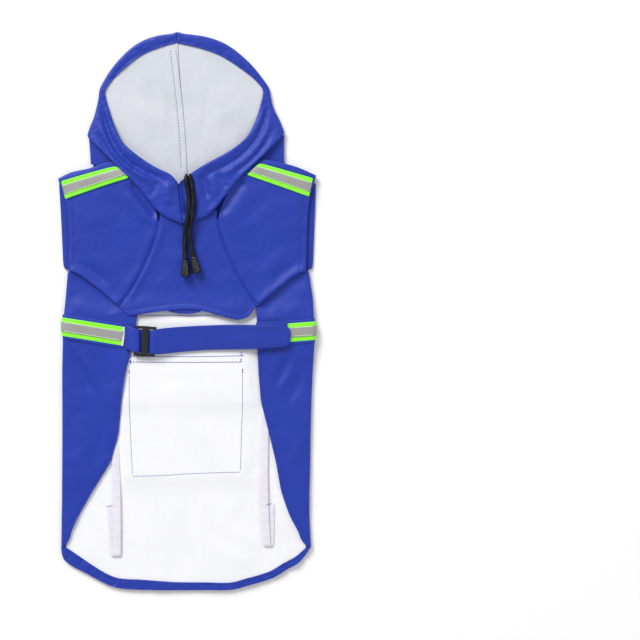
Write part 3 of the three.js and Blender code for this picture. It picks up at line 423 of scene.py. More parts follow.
# Front panels and chest: seams, hems, rolled lower edges and slack at the throat, as in the picture
FRONT_CREASES = (
    Crease(SEAM_LEFT, 1.4, -1.1, fade=0.02),
    Crease(SEAM_RIGHT, 1.4, -1.1, fade=0.02),
    Crease(((-24, 92), (-31, 66), (-46, 33), (-62, 8)), 3.4, 0.9, fade=0.15),
    Crease(((24.5, 92), (33.6, 60), (42, 41), (52, 23), (62, 8)), 3.4, 0.6, fade=0.15),
    Crease(((-34, 92), (-41, 66), (-56, 33), (-72, 10)), 4, 0.6, fade=0.2),
    Crease(((34, 92), (43, 60), (52, 41), (61, 23), (72, 10)), 4, 0.6, fade=0.2),
    Crease(CHEST_HEM, 1.4, -0.3, fade=0.02),
    Crease(((-58, -2), (-50, -1), (-19, 3.4), (-1, 4.6), (13, 3.4), (32, -1.8), (48, -6.2), (57, -6)), 3.4, 0.3, 0.05),
    Crease(SLEEVE_LEFT, 1.4, -0.5, fade=0.02),
    Crease(SLEEVE_RIGHT, 1.4, -0.5, fade=0.02),
    Crease(FOLD_LEFT, 4.8, 2.0, fade=0.06),
    Crease(FOLD_RIGHT, 4.8, 1.5, fade=0.06),
    Crease(((-112, 50), (-94, 39), (-78, 24)), 4.4, -1.2),
    Crease(((112, 51), (94, 40), (80, 25)), 5, -0.7),
    Crease(((-104, 66), (-88, 50), (-66, 34)), 8, 1.0),
    Crease(((103, 66), (88, 50), (70, 32)), 8, 1.0),
    Crease(((-58, 130), (-47, 115), (-37, 102), (-30, 92)), 4.6, -3.2, fade=0.18),
    Crease(((57, 133), (46, 118), (37, 105), (30, 95)), 4.4, -2.5, fade=0.18),
    Crease(((-64, 122), (-54, 107), (-43, 94), (-36, 82)), 4.2, 1.1, fade=0.3),
    Crease(((63, 124), (53, 109), (43, 96), (36, 84)), 5, 0.2, fade=0.3),
    Crease(((-82, 118), (-66, 98), (-52, 84)), 6, -0.7),
    Crease(((82, 120), (66, 100), (52, 86)), 6, -0.7),
    Crease(((-22, 84), (0, 80), (22, 83)), 5, -0.6),
    Crease(((-30, 62), (-8, 52), (20, 56)), 10, 0.5),
)

# Hood fold beside the opening: casing, long wrinkles along it, short slanting ones, and the throat's gathers
HOOD_CREASES = (
    Crease(((-83, 206), (-79, 190), (-72, 175), (-62, 162), (-48, 151), (-33, 141), (-19, 134)), 2.6, 1.0, fade=0.1),
    Crease(((76, 206), (72, 192), (64, 178), (53, 166), (38, 155), (23, 147), (10, 139)), 2.6, 1.0, fade=0.1),
    Crease(((-87, 206), (-82, 186), (-75, 167), (-63, 152), (-48, 142), (-31, 134), (-20, 128)), 2.5, -1.7, fade=0.12),
    Crease(((79, 207), (75, 188), (68, 172), (57, 159), (43, 148), (27, 140), (14, 133)), 2.5, -1.7, fade=0.12),
    Crease(((-91, 198), (-85, 178), (-75, 159), (-61, 144), (-45, 134), (-32, 127)), 3.4, 1.7, fade=0.22),
    Crease(((83, 199), (79, 181), (70, 164), (57, 150), (42, 140), (28, 133)), 3.4, 1.1, fade=0.22),
    Crease(((-93, 186), (-85, 167), (-73, 151), (-59, 138), (-47, 129)), 2.5, -1.5, fade=0.3),
    Crease(((85, 187), (78, 170), (66, 154), (52, 142), (39, 133)), 2.5, -1.5, fade=0.3),
    Crease(((-95, 177), (-84, 161), (-72, 148), (-60, 137), (-50, 128)), 2.8, 1.0, fade=0.3),
    Crease(((91, 178), (80, 162), (68, 149), (56, 138), (46, 129)), 2.8, 1.0, fade=0.3),
    Crease(((50, 158), (53, 148), (50, 137)), 2.9, -0.6),
    Crease(((41, 152), (44, 143), (41, 133)), 2.9, 0.6),
    Crease(((31, 147), (35, 138), (33, 129)), 2.9, -0.6),
    Crease(((-50, 153), (-54, 143), (-52, 134)), 2.9, -0.5),
    Crease(((-40, 147), (-44, 138), (-42, 129)), 2.9, 0.5),
    Crease(((-8, 131), (-4, 119), (-1, 105), (0, 92)), 5.4, -3.6, fade=0.22),
    Crease(((-18, 130), (-20, 117), (-19, 104)), 4.2, 2.0, fade=0.25),
    Crease(((-28, 132), (-34, 121), (-36, 112)), 3.2, -1.4, fade=0.3),
    Crease(((7, 136), (9, 122), (9, 108)), 3.0, 0.7, fade=0.25),
    Crease(((13, 138), (17, 124), (19, 110)), 4.0, -2.5, fade=0.25),
    Crease(((22, 138), (27, 124), (29, 110)), 4.2, 0.8, fade=0.3),
    Crease(((28, 140), (35, 129), (37, 120)), 3.0, -1.3, fade=0.3),
    Crease(((-40, 117), (-31, 104), (-20, 95)), 2.8, 0.9, fade=0.2),
    Crease(((39, 121), (30, 108), (19, 97)), 2.8, 0.9, fade=0.2),
    Crease(HEM_TOP_LEFT, 1.8, -0.35, fade=0.02),
    Crease(HEM_TOP_RIGHT, 1.8, -0.35, fade=0.02),
)

# Side flaps: hem, the hollow beside the front panels, and slack that runs down from the waist
FLAP_CREASES = (
    Crease(FLAP_LEFT_HEM, 1.5, -0.5, fade=0.02),
    Crease(FLAP_RIGHT_HEM, 1.5, -0.5, fade=0.02),
    Crease(((-117, 36), (-103, 27), (-88, 14), (-72, 0)), 6, -1.3, fade=0.1),
    Crease(((117, 35), (103, 27), (88, 14), (72, 0)), 6, -1.3, fade=0.1),
    Crease(((-118, 12), (-104, 4), (-90, -3)), 6, 0.9),
    Crease(((118, 10), (106, 3), (94, -4)), 6, 0.9),
    Crease(((-116, -36), (-106, -60), (-94, -88)), 4.4, -1.7),
    Crease(((-108, -34), (-99, -55), (-88, -84)), 4.2, 1.7),
    Crease(((-98, -38), (-92, -60), (-88, -78)), 4.4, -0.8),
    Crease(((-112, -100), (-108, -140), (-112, -190)), 9, 1.1),
    Crease(((-84, -104), (-90, -134), (-100, -166)), 6, -0.8),
    Crease(((112, -36), (102, -60), (86, -92)), 4.0, 1.0),
    Crease(((104, -38), (95, -58), (84, -80)), 3.4, -1.1),
    Crease(((119, -46), (110, -70), (94, -102)), 3.8, -1.2),
    Crease(((92, -38), (88, -52), (82, -68)), 3.8, 0.9),
    Crease(((112, -112), (106, -150), (110, -196)), 8, 1.1),
)

# Bottom hem: short slanting tucks where the band takes the curve, from inner to outer edge
HEM_CREASES = tuple(Crease(((x, y), (x + lean, y - 9)), 1.3, height, fade=0.2) for x, y, lean, height in (
    (-117, -238, -3, -0.9), (-105, -246, -5, -0.8), (-98, -251, -4, 0.5), (-86, -259, -5, -0.7), (-71, -265, -4, -1.0),
    (-64, -267, -3, 0.5), (-38, -268, -3, -0.8), (-12, -270, 3, 0.4), (16, -270, 4, -0.7), (44, -270, 4, -0.9),
    (63, -265, 5, 0.5), (79, -260, 5, -0.8), (95, -252, 6, -1.0), (104, -246, 4, 0.5), (113, -239, 4, -0.9),
))

# Corners that hang out further than their solid's straight edges, and tape ends tucked under the hood
PULLS = {
    "hood_front_left": (Pull(-82, 220, 7, -2.4, 0.4), Pull(-11, 279, 3.6, 0, 1.5), Pull(-99.5, 175, 3.6, -1.3, -0.6)),
    "hood_front_right": (Pull(74, 221, 7, 1.8, 0.8), Pull(-11, 279, 3.6, 0, 1.5), Pull(94.5, 178, 3.6, 1.3, -0.6)),
    "hood_seam_tape": (Pull(-4.4, 137, 8, 0.4, -6),),
    "hood_neck_left": (Pull(-97, 170, 6, -0.8, 4.5),),
    "hood_neck_right": (Pull(94, 172, 6, 0.6, 4.5),),
    "hood_lining_left": (Pull(-82, 220, 8, -2.2, 0.4),),
    "hood_lining_right": (Pull(74, 221, 8, 1.7, 0.8),),
    "front_left": (Pull(-102, 146, 15, 0, -2.2),),
    "back": (Pull(-102, 146, 15, 0, -2.2),),
    "back_lining": (Pull(-120, -236, 6, -2.6, 0), Pull(117, -236, 6, 2.2, 0)),
    "flap_left": (Pull(-118, -235, 5, -5.2, 0), Pull(-123, -235, 8, 0, -1.0), Pull(-121, 37, 7, 0, 3)),
    "flap_right": (Pull(114, -235, 5, 5.0, 0), Pull(118, -235, 8, 0, -1.0), Pull(121, 37, 7, 0, 3)),
    "shoulder_tape_left": (Pull(-68, 139, 12, 4.4, 0.6),),
    "shoulder_film_left": (Pull(-68, 139, 12, 4.4, 0.6),),
}

# Faint creases of the body lining, all raised so that they clear the back under them
LINING_CREASES = (
    Crease(((-52, -76), (-20, -79), (20, -77), (54, -80)), 5, 0.7),
    Crease(((-50, -116), (-22, -108), (10, -112)), 7, 0.45),
    Crease(((-30, -132), (4, -124), (40, -130)), 7, 0.4),
    Crease(((-64, -60), (-66, -110), (-70, -150)), 4.6, 0.6),
    Crease(((63, -62), (66, -112), (62, -160)), 4.6, 0.6),
    Crease(((58, -182), (40, -200), (34, -222)), 6, 0.8),
    Crease(((44, -212), (60, -228), (76, -236)), 4.6, 0.9),
    Crease(((6, -176), (-14, -200), (-22, -232)), 8, 0.6),
    Crease(((-56, -196), (-44, -224), (-36, -250)), 6, 0.6),
    Crease(((24, -236), (48, -246), (74, -246)), 5, 0.7),
    Crease(((92, -176), (98, -200), (108, -216)), 5, 0.6),
    Crease(((-40, -6), (-6, -9), (38, -6)), 3.4, 0.5),
    Crease(((-54, -58), (0, -60), (52, -57)), 3.2, 0.45),
)

# Soft swells of the hood lining
HOOD_LINING_CREASES = (
    Crease(((-58, 236), (-48, 206), (-38, 168)), 9, 0.6),
    Crease(((-30, 250), (-26, 214), (-22, 172)), 5, 0.6),
    Crease(((38, 240), (34, 208), (24, 168)), 9, 0.6),
    Crease(((10, 252), (12, 214), (8, 172)), 5, 0.5),
    Crease(((-66, 214), (-40, 196), (-22, 188)), 7, 0.5),
    Crease(((60, 214), (38, 198), (14, 190)), 7, 0.5),
)


# The lining's step over the pocket, its run in the solid and once eased, and the Y below which it is eased.
# The pocket and its flap are left, bottom, right and top
POCKET_STEP = 1.5
STEP_RUN = 3.4
EASED_RUN = 17
EASED_BELOW = -36
LINING_MIDDLE = 2.0
POCKET_BOXES = ((-58.7, -163, 53.8, -46), (-63.5, -88, 59, -43))


def over(x: np.ndarray, y: np.ndarray, box: tuple[float, float, float, float], run: float) -> np.ndarray:
    """1 over a rectangle, down to 0 over a run outside it.

    Args:
        x: X of the points.
        y: Y of the points.
        box: Left, bottom, right and top.
        run: Millimetres that the change takes.

    Returns:
        Shares from 0 to 1.
    """
    left, bottom, right, top = box
    across = np.minimum(smooth_step(x, left - run, left), 1 - smooth_step(x, right, right + run))
    return across * np.minimum(smooth_step(y, bottom - run, bottom), 1 - smooth_step(y, top, top + run))


CREASES = {Layer.FRONT: FRONT_CREASES, Layer.HOOD_FOLD: HOOD_CREASES, Layer.FLAP: FLAP_CREASES,
           Layer.HEM: HEM_CREASES}
SMALL_WAVES = {Layer.HOOD_FOLD: 0.16, Layer.HEM: 0.3}


def relief(layer: Layer, place: np.ndarray) -> np.ndarray:
    """How far creases lift the points of a layer. Points near the table stay where they are.

    Args:
        layer: Layer of the coat.
        place: Points in millimetres, one row for each.

    Returns:
        Lifts in millimetres.
    """
    x, y, z = place.T
    if layer in CREASES:
        small = SMALL_WAVES.get(layer, 0.07)
        uneven = 0.3 * ripple(x, y, 38) + 0.1 * ripple(y, x, 14) + small * ripple(x, y, 9)
        return (sum(crease.lift(x, y) for crease in CREASES[layer]) + uneven) * smooth_step(z, 1.0, 4.0)
    if layer is Layer.LINING:
        steps = sum(POCKET_STEP * over(x, y, box, STEP_RUN) for box in POCKET_BOXES)
        slopes = sum(POCKET_STEP * over(x, y, box, EASED_RUN) for box in POCKET_BOXES)
        level = LINING_MIDDLE + steps
        eased = LINING_MIDDLE + slopes + np.clip(3 * (z - level), -0.5, 0.5) - z
        folds = sum(crease.lift(x, y) for crease in LINING_CREASES) + 0.12 * (1 + ripple(x, y, 26))
        return folds + np.where(y < EASED_BELOW, eased, slopes - steps)
    if layer is Layer.HOOD_LINING:
        return sum(crease.lift(x, y) for crease in HOOD_LINING_CREASES) + 0.15 * (1 + ripple(x, y, 40))
    return np.zeros(x.shape)


# Meshes


def place_of(x: float, y: float, z: float) -> Vector:
    """Turns a place in millimetres from the coat's own tables into the frame's metres."""
    return Vector((x + CENTRE_SHIFT, y, z)) * MM


def add_object(name: str, shape: bmesh.types.BMesh) -> bpy.types.Object:
    """Makes an object at the origin from a bmesh, with smooth faces.

    Args:
        name: Name of the object.
        shape: Its mesh, freed here.

    Returns:
        The object.
    """
    mesh = bpy.data.meshes.new(name)
    shape.to_mesh(mesh)
    shape.free()
    for face in mesh.polygons:
        face.use_smooth = True
    piece = bpy.data.objects.new(name, mesh)
    bpy.context.collection.objects.link(piece)
    return piece


def split_faces(shape: bmesh.types.BMesh) -> None:
    """Halves all edges and fills the faces, so that smoothing keeps the outline's corners.

    Args:
        shape: Mesh to change.
    """
    bmesh.ops.subdivide_edges(shape, edges=shape.edges, cuts=1, use_grid_fill=True)


def copy_of(node: str) -> bmesh.types.BMesh:
    """Merged copy of a node's mesh, with its triangles joined to quads.

    Args:
        node: Name of the node.

    Returns:
        The copy.
    """
    shape = bmesh.new()
    shape.from_mesh(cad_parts[node].data)
    bmesh.ops.remove_doubles(shape, verts=shape.verts, dist=WELD * MM)
    bmesh.ops.join_triangles(shape, faces=shape.faces, angle_face_threshold=QUAD_ANGLE,
                             angle_shape_threshold=QUAD_ANGLE)
    return shape


def scale_across(shape: bmesh.types.BMesh, share: float) -> None:
    """Scales a nearly level strip across its own middle line.

    Args:
        shape: Mesh to change.
        share: New width as a share of the old one.
    """
    places = [vert.co.copy() for vert in shape.verts]
    middle = sum(places, Vector()) / len(places)
    slope = (sum((place.x - middle.x) * (place.y - middle.y) for place in places)
             / sum((place.x - middle.x) ** 2 for place in places))
    for vert in shape.verts:
        line = middle.y + slope * (vert.co.x - middle.x)
        vert.co.y = line + (vert.co.y - line) * share


def round_rims(shape: bmesh.types.BMesh, width: float) -> None:
    """Bevels the sharp rims of a cloth wall.

    Args:
        shape: Mesh to change.
        width: Width of the bevel in millimetres.
    """
    rims = [edge for edge in shape.edges if len(edge.link_faces) == 2 and edge.calc_face_angle(0) > WALL_ANGLE]
    bmesh.ops.bevel(shape, geom=rims, offset=width * MM, offset_type="OFFSET", segments=1, profile=0.5,
                    affect="EDGES", material=-1, clamp_overlap=False)


def settle(piece: bpy.types.Object, layer: Layer, pulls: Sequence[Pull] = ()) -> None:
    """Applies a piece's modifiers, then moves its points by the creases of its layer.

    Args:
        piece: Object with its modifiers.
        layer: Layer that it lies in.
        pulls: Soft shifts across and up.
    """
    depsgraph = bpy.context.evaluated_depsgraph_get()
    made = bpy.data.meshes.new_from_object(piece.evaluated_get(depsgraph))
    piece.modifiers.clear()
    piece.data = made
    points = np.empty(len(made.vertices) * 3)
    made.vertices.foreach_get("co", points)
    place = points.reshape(-1, 3) / MM
    place[:, 0] -= CENTRE_SHIFT
    moves = np.zeros(place.shape)
    moves[:, 2] = relief(layer, place)
    for pull in pulls:
        share = np.exp(-((place[:, 0] - pull.x) ** 2 + (place[:, 1] - pull.y) ** 2) / pull.reach ** 2)
        moves[:, 0] += pull.across * share
        moves[:, 1] += pull.up * share
    points += moves.ravel() * MM
    made.vertices.foreach_set("co", points)
    made.update()


def subdivided(piece: bpy.types.Object, levels: int) -> None:
    """Adds a Subdivision Surface with the same levels in the viewport and the render.

    Args:
        piece: Object to smooth.
        levels: Its levels.
    """
    modifier = piece.modifiers.new("smooth", "SUBSURF")
    modifier.levels = levels
    modifier.render_levels = levels


@dataclass
class Panel:
    """Cloth piece that replaces one node.

    It has a finish, a layer, a cut size in millimetres, a smoothness and the share of its width it is drawn in to.
    """

    node: str
    finish: Finish
    slot: str
    layer: Layer
    width: float
    length: float
    share: float
    held: Held = Held.LAID
    levels: int = 1
    rests_on: tuple[str, ...] = ()
    drawn_in: float = 1.0

    def build(self) -> bpy.types.Object:
        """Makes the piece and hides the node that it replaces.

        Returns:
            The finished piece.
        """
        shape = copy_of(self.node)
        if self.drawn_in < 1:
            scale_across(shape, self.drawn_in)
        split_faces(shape)
        round_rims(shape, ROUNDING)
        piece = add_object(f"sewn_{self.node}", shape)
        subdivided(piece, self.levels)
        settle(piece, self.layer, PULLS.get(self.node, ()))
        finish_piece(piece, self.finish)
        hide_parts(self.node)
        log.info("panel %s", piece.name)
        return piece


# Sewing


@dataclass(frozen=True)
class Seam:
    """Row of stitches: its route, thread, sizes, side, and whether its corners stay sharp."""

    route: Route
    finish: Finish
    stitch: float = 2.6
    gap: float = 1.0
    width: float = 0.6
    from_below: bool = False
    sharp: bool = False


class Sewing:
    """Drops rows of stitches on the finished pieces."""

    def __init__(self, cloths: Sequence[bpy.types.Object]) -> None:
        """Gathers the surfaces that stitches lie on.

        Args:
            cloths: Finished pieces.
        """
        whole = bmesh.new()
        for cloth in cloths:
            whole.from_mesh(cloth.data)
        self.surface = BVHTree.FromBMesh(whole)
        whole.free()

    def drop(self, x: float, y: float, from_below: bool) -> Vector | None:
        """Point of the coat's surface above or below a place.

        Args:
            x: X in millimetres.
            y: Y in millimetres.
            from_below: Whether the underside is wanted.

        Returns:
            The point in metres, or None beside the coat.
        """
        start = place_of(x, y, -RAY_START if from_below else RAY_START)
        return self.surface.ray_cast(start, Vector((0, 0, 1 if from_below else -1)))[0]

    def sew(self, name: str, seams: Sequence[Seam]) -> bpy.types.Object:
        """Makes one mesh of all stitches of several rows.

        Args:
            name: Name of the piece.
            seams: Rows of one thread.

        Returns:
            The piece.
        """
        thread = bmesh.new()
        for seam in seams:
            line = list(seam.route) if seam.sharp else rounded(seam.route)
            steps = [math.dist(a, b) for a, b in zip(line, line[1:])]
            pitch = seam.stitch + seam.gap
            for number in range(int(sum(steps) / pitch)):
                ends = [self._at(line, steps, number * pitch + far) for far in (0.0, seam.stitch)]
                drops = [self.drop(x, y, seam.from_below) for x, y in ends]
                if None in drops:
                    continue
                self._stitch(thread, drops[0], drops[1], seam.width, seam.from_below)
        log.info("sewing %s", name)
        return finish_piece(add_object(name, thread), seams[0].finish)

    def back(self, name: str, routes: Sequence[Route], finish: Finish, slot: str) -> bpy.types.Object:
        """Makes strips of cloth behind seams, just below the panels that meet there.

        Args:
            name: Name of the piece.
            routes: Middle lines of the seams.
            finish: Finish of the strips.
            slot: Not used.

        Returns:
            The piece.
        """
        strips = bmesh.new()
        for route in routes:
            line = rounded(route, 8)
            rings = []
            for (ax, ay), (bx, by) in zip(line, line[1:]):
                run = math.dist((ax, ay), (bx, by))
                across = ((ay - by) / run * STRIP_HALF, (bx - ax) / run * STRIP_HALF)
                sides = [self.drop(ax + sign * across[0], ay + sign * across[1], False) for sign in (-1, 1)]
                if None in sides:
                    continue
                top = min(side.z for side in sides) - STRIP_DROP * MM
                low = top - STRIP_THICKNESS * MM
                corners = [(sides[0], top), (sides[1], top), (sides[1], low), (sides[0], low)]
                rings.append([strips.verts.new((side.x, side.y, height)) for side, height in corners])
            for first, second in zip(rings, rings[1:]):
                for number in range(4):
                    after = (number + 1) % 4
                    strips.faces.new((first[number], first[after], second[after], second[number]))
            strips.faces.new(rings[0])
            strips.faces.new(reversed(rings[-1]))
        bmesh.ops.recalc_face_normals(strips, faces=strips.faces)
        return finish_piece(add_object(name, strips), finish)

    @staticmethod
    def _at(line: Sequence[Point], steps: Sequence[float], far: float) -> Point:
        """Place at a distance along a line."""
        for (ax, ay), (bx, by), step in zip(line, line[1:], steps):
            if far <= step:
                return (ax + (bx - ax) * far / step, ay + (by - ay) * far / step)
            far -= step
        return line[-1]

    @staticmethod
    def _stitch(thread: bmesh.types.BMesh, start: Vector, end: Vector, width: float, from_below: bool) -> None:
        """Adds one stitch between two points of the surface."""
        middle = (start + end) / 2
        middle.z = max(middle.z + (-STITCH_OUT if from_below else STITCH_OUT) * MM, LOWEST_STITCH * MM)
        turn = (end - start).to_track_quat("X", "Z").to_matrix().to_4x4()
        size = Matrix.Diagonal(((end - start).length / 2 + 0.1 * MM, width * MM / 2, STITCH_HEIGHT * MM, 1))
        bmesh.ops.create_uvsphere(thread, u_segments=6, v_segments=4, radius=1.0,
                                  matrix=Matrix.Translation(middle) @ turn @ size)


def box_route(left: float, bottom: float, right: float, top: float) -> Route:
    """Closed route round a rectangle."""
    return ((left, bottom), (right, bottom), (right, top), (left, top), (left, bottom))


def add_slip(name: str, place: tuple[float, float, float], size: tuple[float, float, float], turn: float,
             rounding: float, finish: Finish) -> bpy.types.Object:
    """Makes a small flat piece with rounded edges.

    Args:
        name: Name of the piece.
        place: Its middle in the coat's millimetres.
        size: Its sides in millimetres.
        turn: Degrees that it is turned about Z.
        rounding: Radius of its edges in millimetres.
        finish: Its finish.

    Returns:
        The piece.
    """
    shape = bmesh.new()
    bmesh.ops.create_cube(shape, size=1.0, matrix=Matrix.Translation(place_of(*place))
                          @ Matrix.Rotation(math.radians(turn), 4, "Z")
                          @ Matrix.Diagonal((*(side * MM for side in size), 1)))
    bmesh.ops.bevel(shape, geom=shape.edges, offset=rounding * MM, offset_type="OFFSET", segments=3, profile=0.5,
                    affect="EDGES", material=-1)
    return finish_piece(add_object(name, shape), finish)


# Sub-assemblies


@dataclass
class BodyCloth:
    """Back, its lining, the turned-up hem, the pocket and the folded side flaps."""

    pocket_left: float = -58.7
    pocket_right: float = 53.8
    pocket_bottom: float = -163.0
    flap_bottom: float = -88.0
    flap_top: float = -43.0

    def build(self) -> list[bpy.types.Object]:
        """Makes the pieces.

        Returns:
            The pieces.
        """
        cloth, lining = RAIN_CLOTH, LINING_KNIT
        return [panel.build() for panel in (
            Panel("back", cloth, "cloth", Layer.OUTSIDE, 252, 422, 0.89),
            Panel("back_lining", lining, "lining", Layer.LINING, 239, 362, 0.94, rests_on=("back",)),
            Panel("bottom_hem", cloth, "cloth", Layer.HEM, 290, 10, 0.9, Held.FOLDED, 2, ("back_lining",)),
            Panel("pocket", cloth, "cloth", Layer.OUTSIDE, 113, 117, 1.0),
            Panel("pocket_flap", cloth, "cloth", Layer.OUTSIDE, 123, 46, 1.0),
            Panel("flap_left", cloth, "cloth", Layer.FLAP, 77, 286, 0.76, Held.FOLDED, 2, ("back_lining",)),
            Panel("flap_right", cloth, "cloth", Layer.FLAP, 59, 286, 0.81, Held.FOLDED, 2, ("back_lining",)),
        )]

    def seams(self) -> list[Seam]:
        """Blue rows that show on the white lining.

        Returns:
            The rows.
        """
        thread = BLUE_THREAD
        top, low = -44.6, -50.3
        rows = [
            Seam(((-49, -3.7), (0, -3.9), (64, -3.7)), thread, 2.4, 0.6, 0.85),
            Seam(((-58.7, top), (0, top - 0.4), (57.6, top + 0.6)), thread, 2.6, 0.5, 1.0),
            Seam(((-58.7, low), (0, low - 0.4), (55.1, low)), thread, 2.6, 0.5, 1.0),
            Seam(((-59, -58), (-58.9, -88), (-58.2, -110), (-57.2, -135), (-55.7, -164.3)), thread, 2.2, 0.7, 0.75),
            Seam(((-55.7, -164.3), (-28, -163.6), (10, -161.4), (51.8, -160.2)), thread, 2.2, 0.7, 0.75),
            Seam(((53.8, -57.2), (54.2, -90), (53, -120), (52, -160.2)), thread, 2.2, 0.7, 0.75),
        ]
        knots = ((-57.6, low), (52.4, low + 1.6), (52.6, top + 2), (54, -59), (-59, -60))
        rows += [Seam(((x, y - 2), (x + 0.3, y + 2.4)), thread, 2.0, 0.1, 1.1) for x, y in knots]
        tacks = ((-82, -74, -194.5), (78, 85.4, -192.4))
        rows += [Seam(((left, y), (right, y + 0.6)), thread, 1.8, 0.2, 0.9) for left, right, y in tacks]
        return rows

    def outside_seams(self) -> list[Seam]:
        """Rows on the outside of the back: pocket, its flap and the hook-and-loop box.

        Returns:
            The rows.
        """
        left, right = self.pocket_left + 3, self.pocket_right - 3
        bottom = self.pocket_bottom + 3
        rows = [
            Seam(((left, self.flap_bottom - 1), (left, bottom), (right, bottom), (right, self.flap_bottom - 1)),
                 CLOTH_THREAD, from_below=True, sharp=True),
            Seam(box_route(left - 4.6, self.flap_bottom + 3, right + 5, self.flap_top - 7), CLOTH_THREAD,
                 from_below=True, sharp=True),
            Seam(box_route(-18, -73, 14, -63), CLOTH_THREAD, from_below=True, sharp=True),
        ]
        return rows


@dataclass
class FrontCloth:
    """Front panels, chest, its facing and the turned hems of the armholes."""

    def build(self) -> list[bpy.types.Object]:
        """Makes the pieces.

        Returns:
            The pieces.
        """
        cloth = RAIN_CLOTH
        return [panel.build() for panel in (
            Panel("front_left", cloth, "cloth", Layer.FRONT, 101, 145, 0.70, Held.LAID, 2, ("flap_left",)),
            Panel("front_right", cloth, "cloth", Layer.FRONT, 98, 147, 0.71, Held.LAID, 2, ("flap_right",)),
            Panel("chest", cloth, "cloth", Layer.FRONT, 136, 113, 0.62, Held.LAID, 2, ("front_left", "front_right")),
            Panel("chest_facing", cloth, "cloth", Layer.FRONT, 45, 10, 0.82, rests_on=("chest",)),
            Panel("sleeve_hem_left", cloth, "cloth", Layer.LINING, 14, 81, 1.0, Held.FOLDED, rests_on=("back",)),
            Panel("sleeve_hem_right", cloth, "cloth", Layer.LINING, 14, 81, 1.0, Held.FOLDED, rests_on=("back",)),
        )]

    def seams(self) -> list[Seam]:
        """Rows on the belly side in the cloth's own blue.

        Returns:
            The rows.
        """
        routes = (CHEST_HEM, SLEEVE_LEFT, SLEEVE_RIGHT, FLAP_LEFT_HEM, FLAP_RIGHT_HEM, HEM_TOP_LEFT, HEM_TOP_RIGHT,
                  BAND_ROW)
        return [Seam(route, CLOTH_THREAD) for route in routes]


@dataclass
class HoodCloth:
    """Hood: two gathered back halves, lining, folded fronts, the sides that show, and the seam strip. Lining and strip
    are coloured with painted shade.
    """

    def build(self) -> list[bpy.types.Object]:
        """Makes the pieces.

        Returns:
            The pieces.
        """
        pieces = []
        for side, width in (("left", 98), ("right", 108)):
            pieces += [panel.build() for panel in (
                Panel(f"hood_{side}", RAIN_CLOTH, "cloth", Layer.OUTSIDE, width, 192, 0.76, Held.GATHERED),
                # The hood lining is the tricot with painted shade
                Panel(f"hood_lining_{side}", HOOD_KNIT_PAINTED_SHADE, "lining", Layer.HOOD_LINING, width - 14, 145, 0.72,
                      levels=2, rests_on=(f"hood_{side}",)),
                Panel(f"hood_front_{side}", RAIN_CLOTH, "cloth", Layer.HOOD_FOLD, width - 3, 191, 0.32, Held.FOLDED, 2,
                      (f"hood_{side}",)),
                Panel(f"hood_neck_{side}", RAIN_CLOTH, "cloth", Layer.OUTSIDE, 37, 31, 0.62,
                      rests_on=(f"hood_{side}",)),
            )]
        # The seam strip is the tricot with painted shade as well
        strip = Panel("hood_seam_tape", HOOD_KNIT_PAINTED_SHADE, "lining", Layer.HOOD_LINING, 6, 123, 1.0,
                      rests_on=("hood_lining_left",))
        return [*pieces, strip.build()]

    def seams(self) -> list[Seam]:
        """Blue row beside the seam strip of the hood lining.

        Returns:
            The rows.
        """
        route = ((-18, 261), (-12.6, 215.1), (-9, 176.8), (-7, 140))
        return [Seam(route, BLUE_THREAD, 2.0, 0.9, 0.62)]


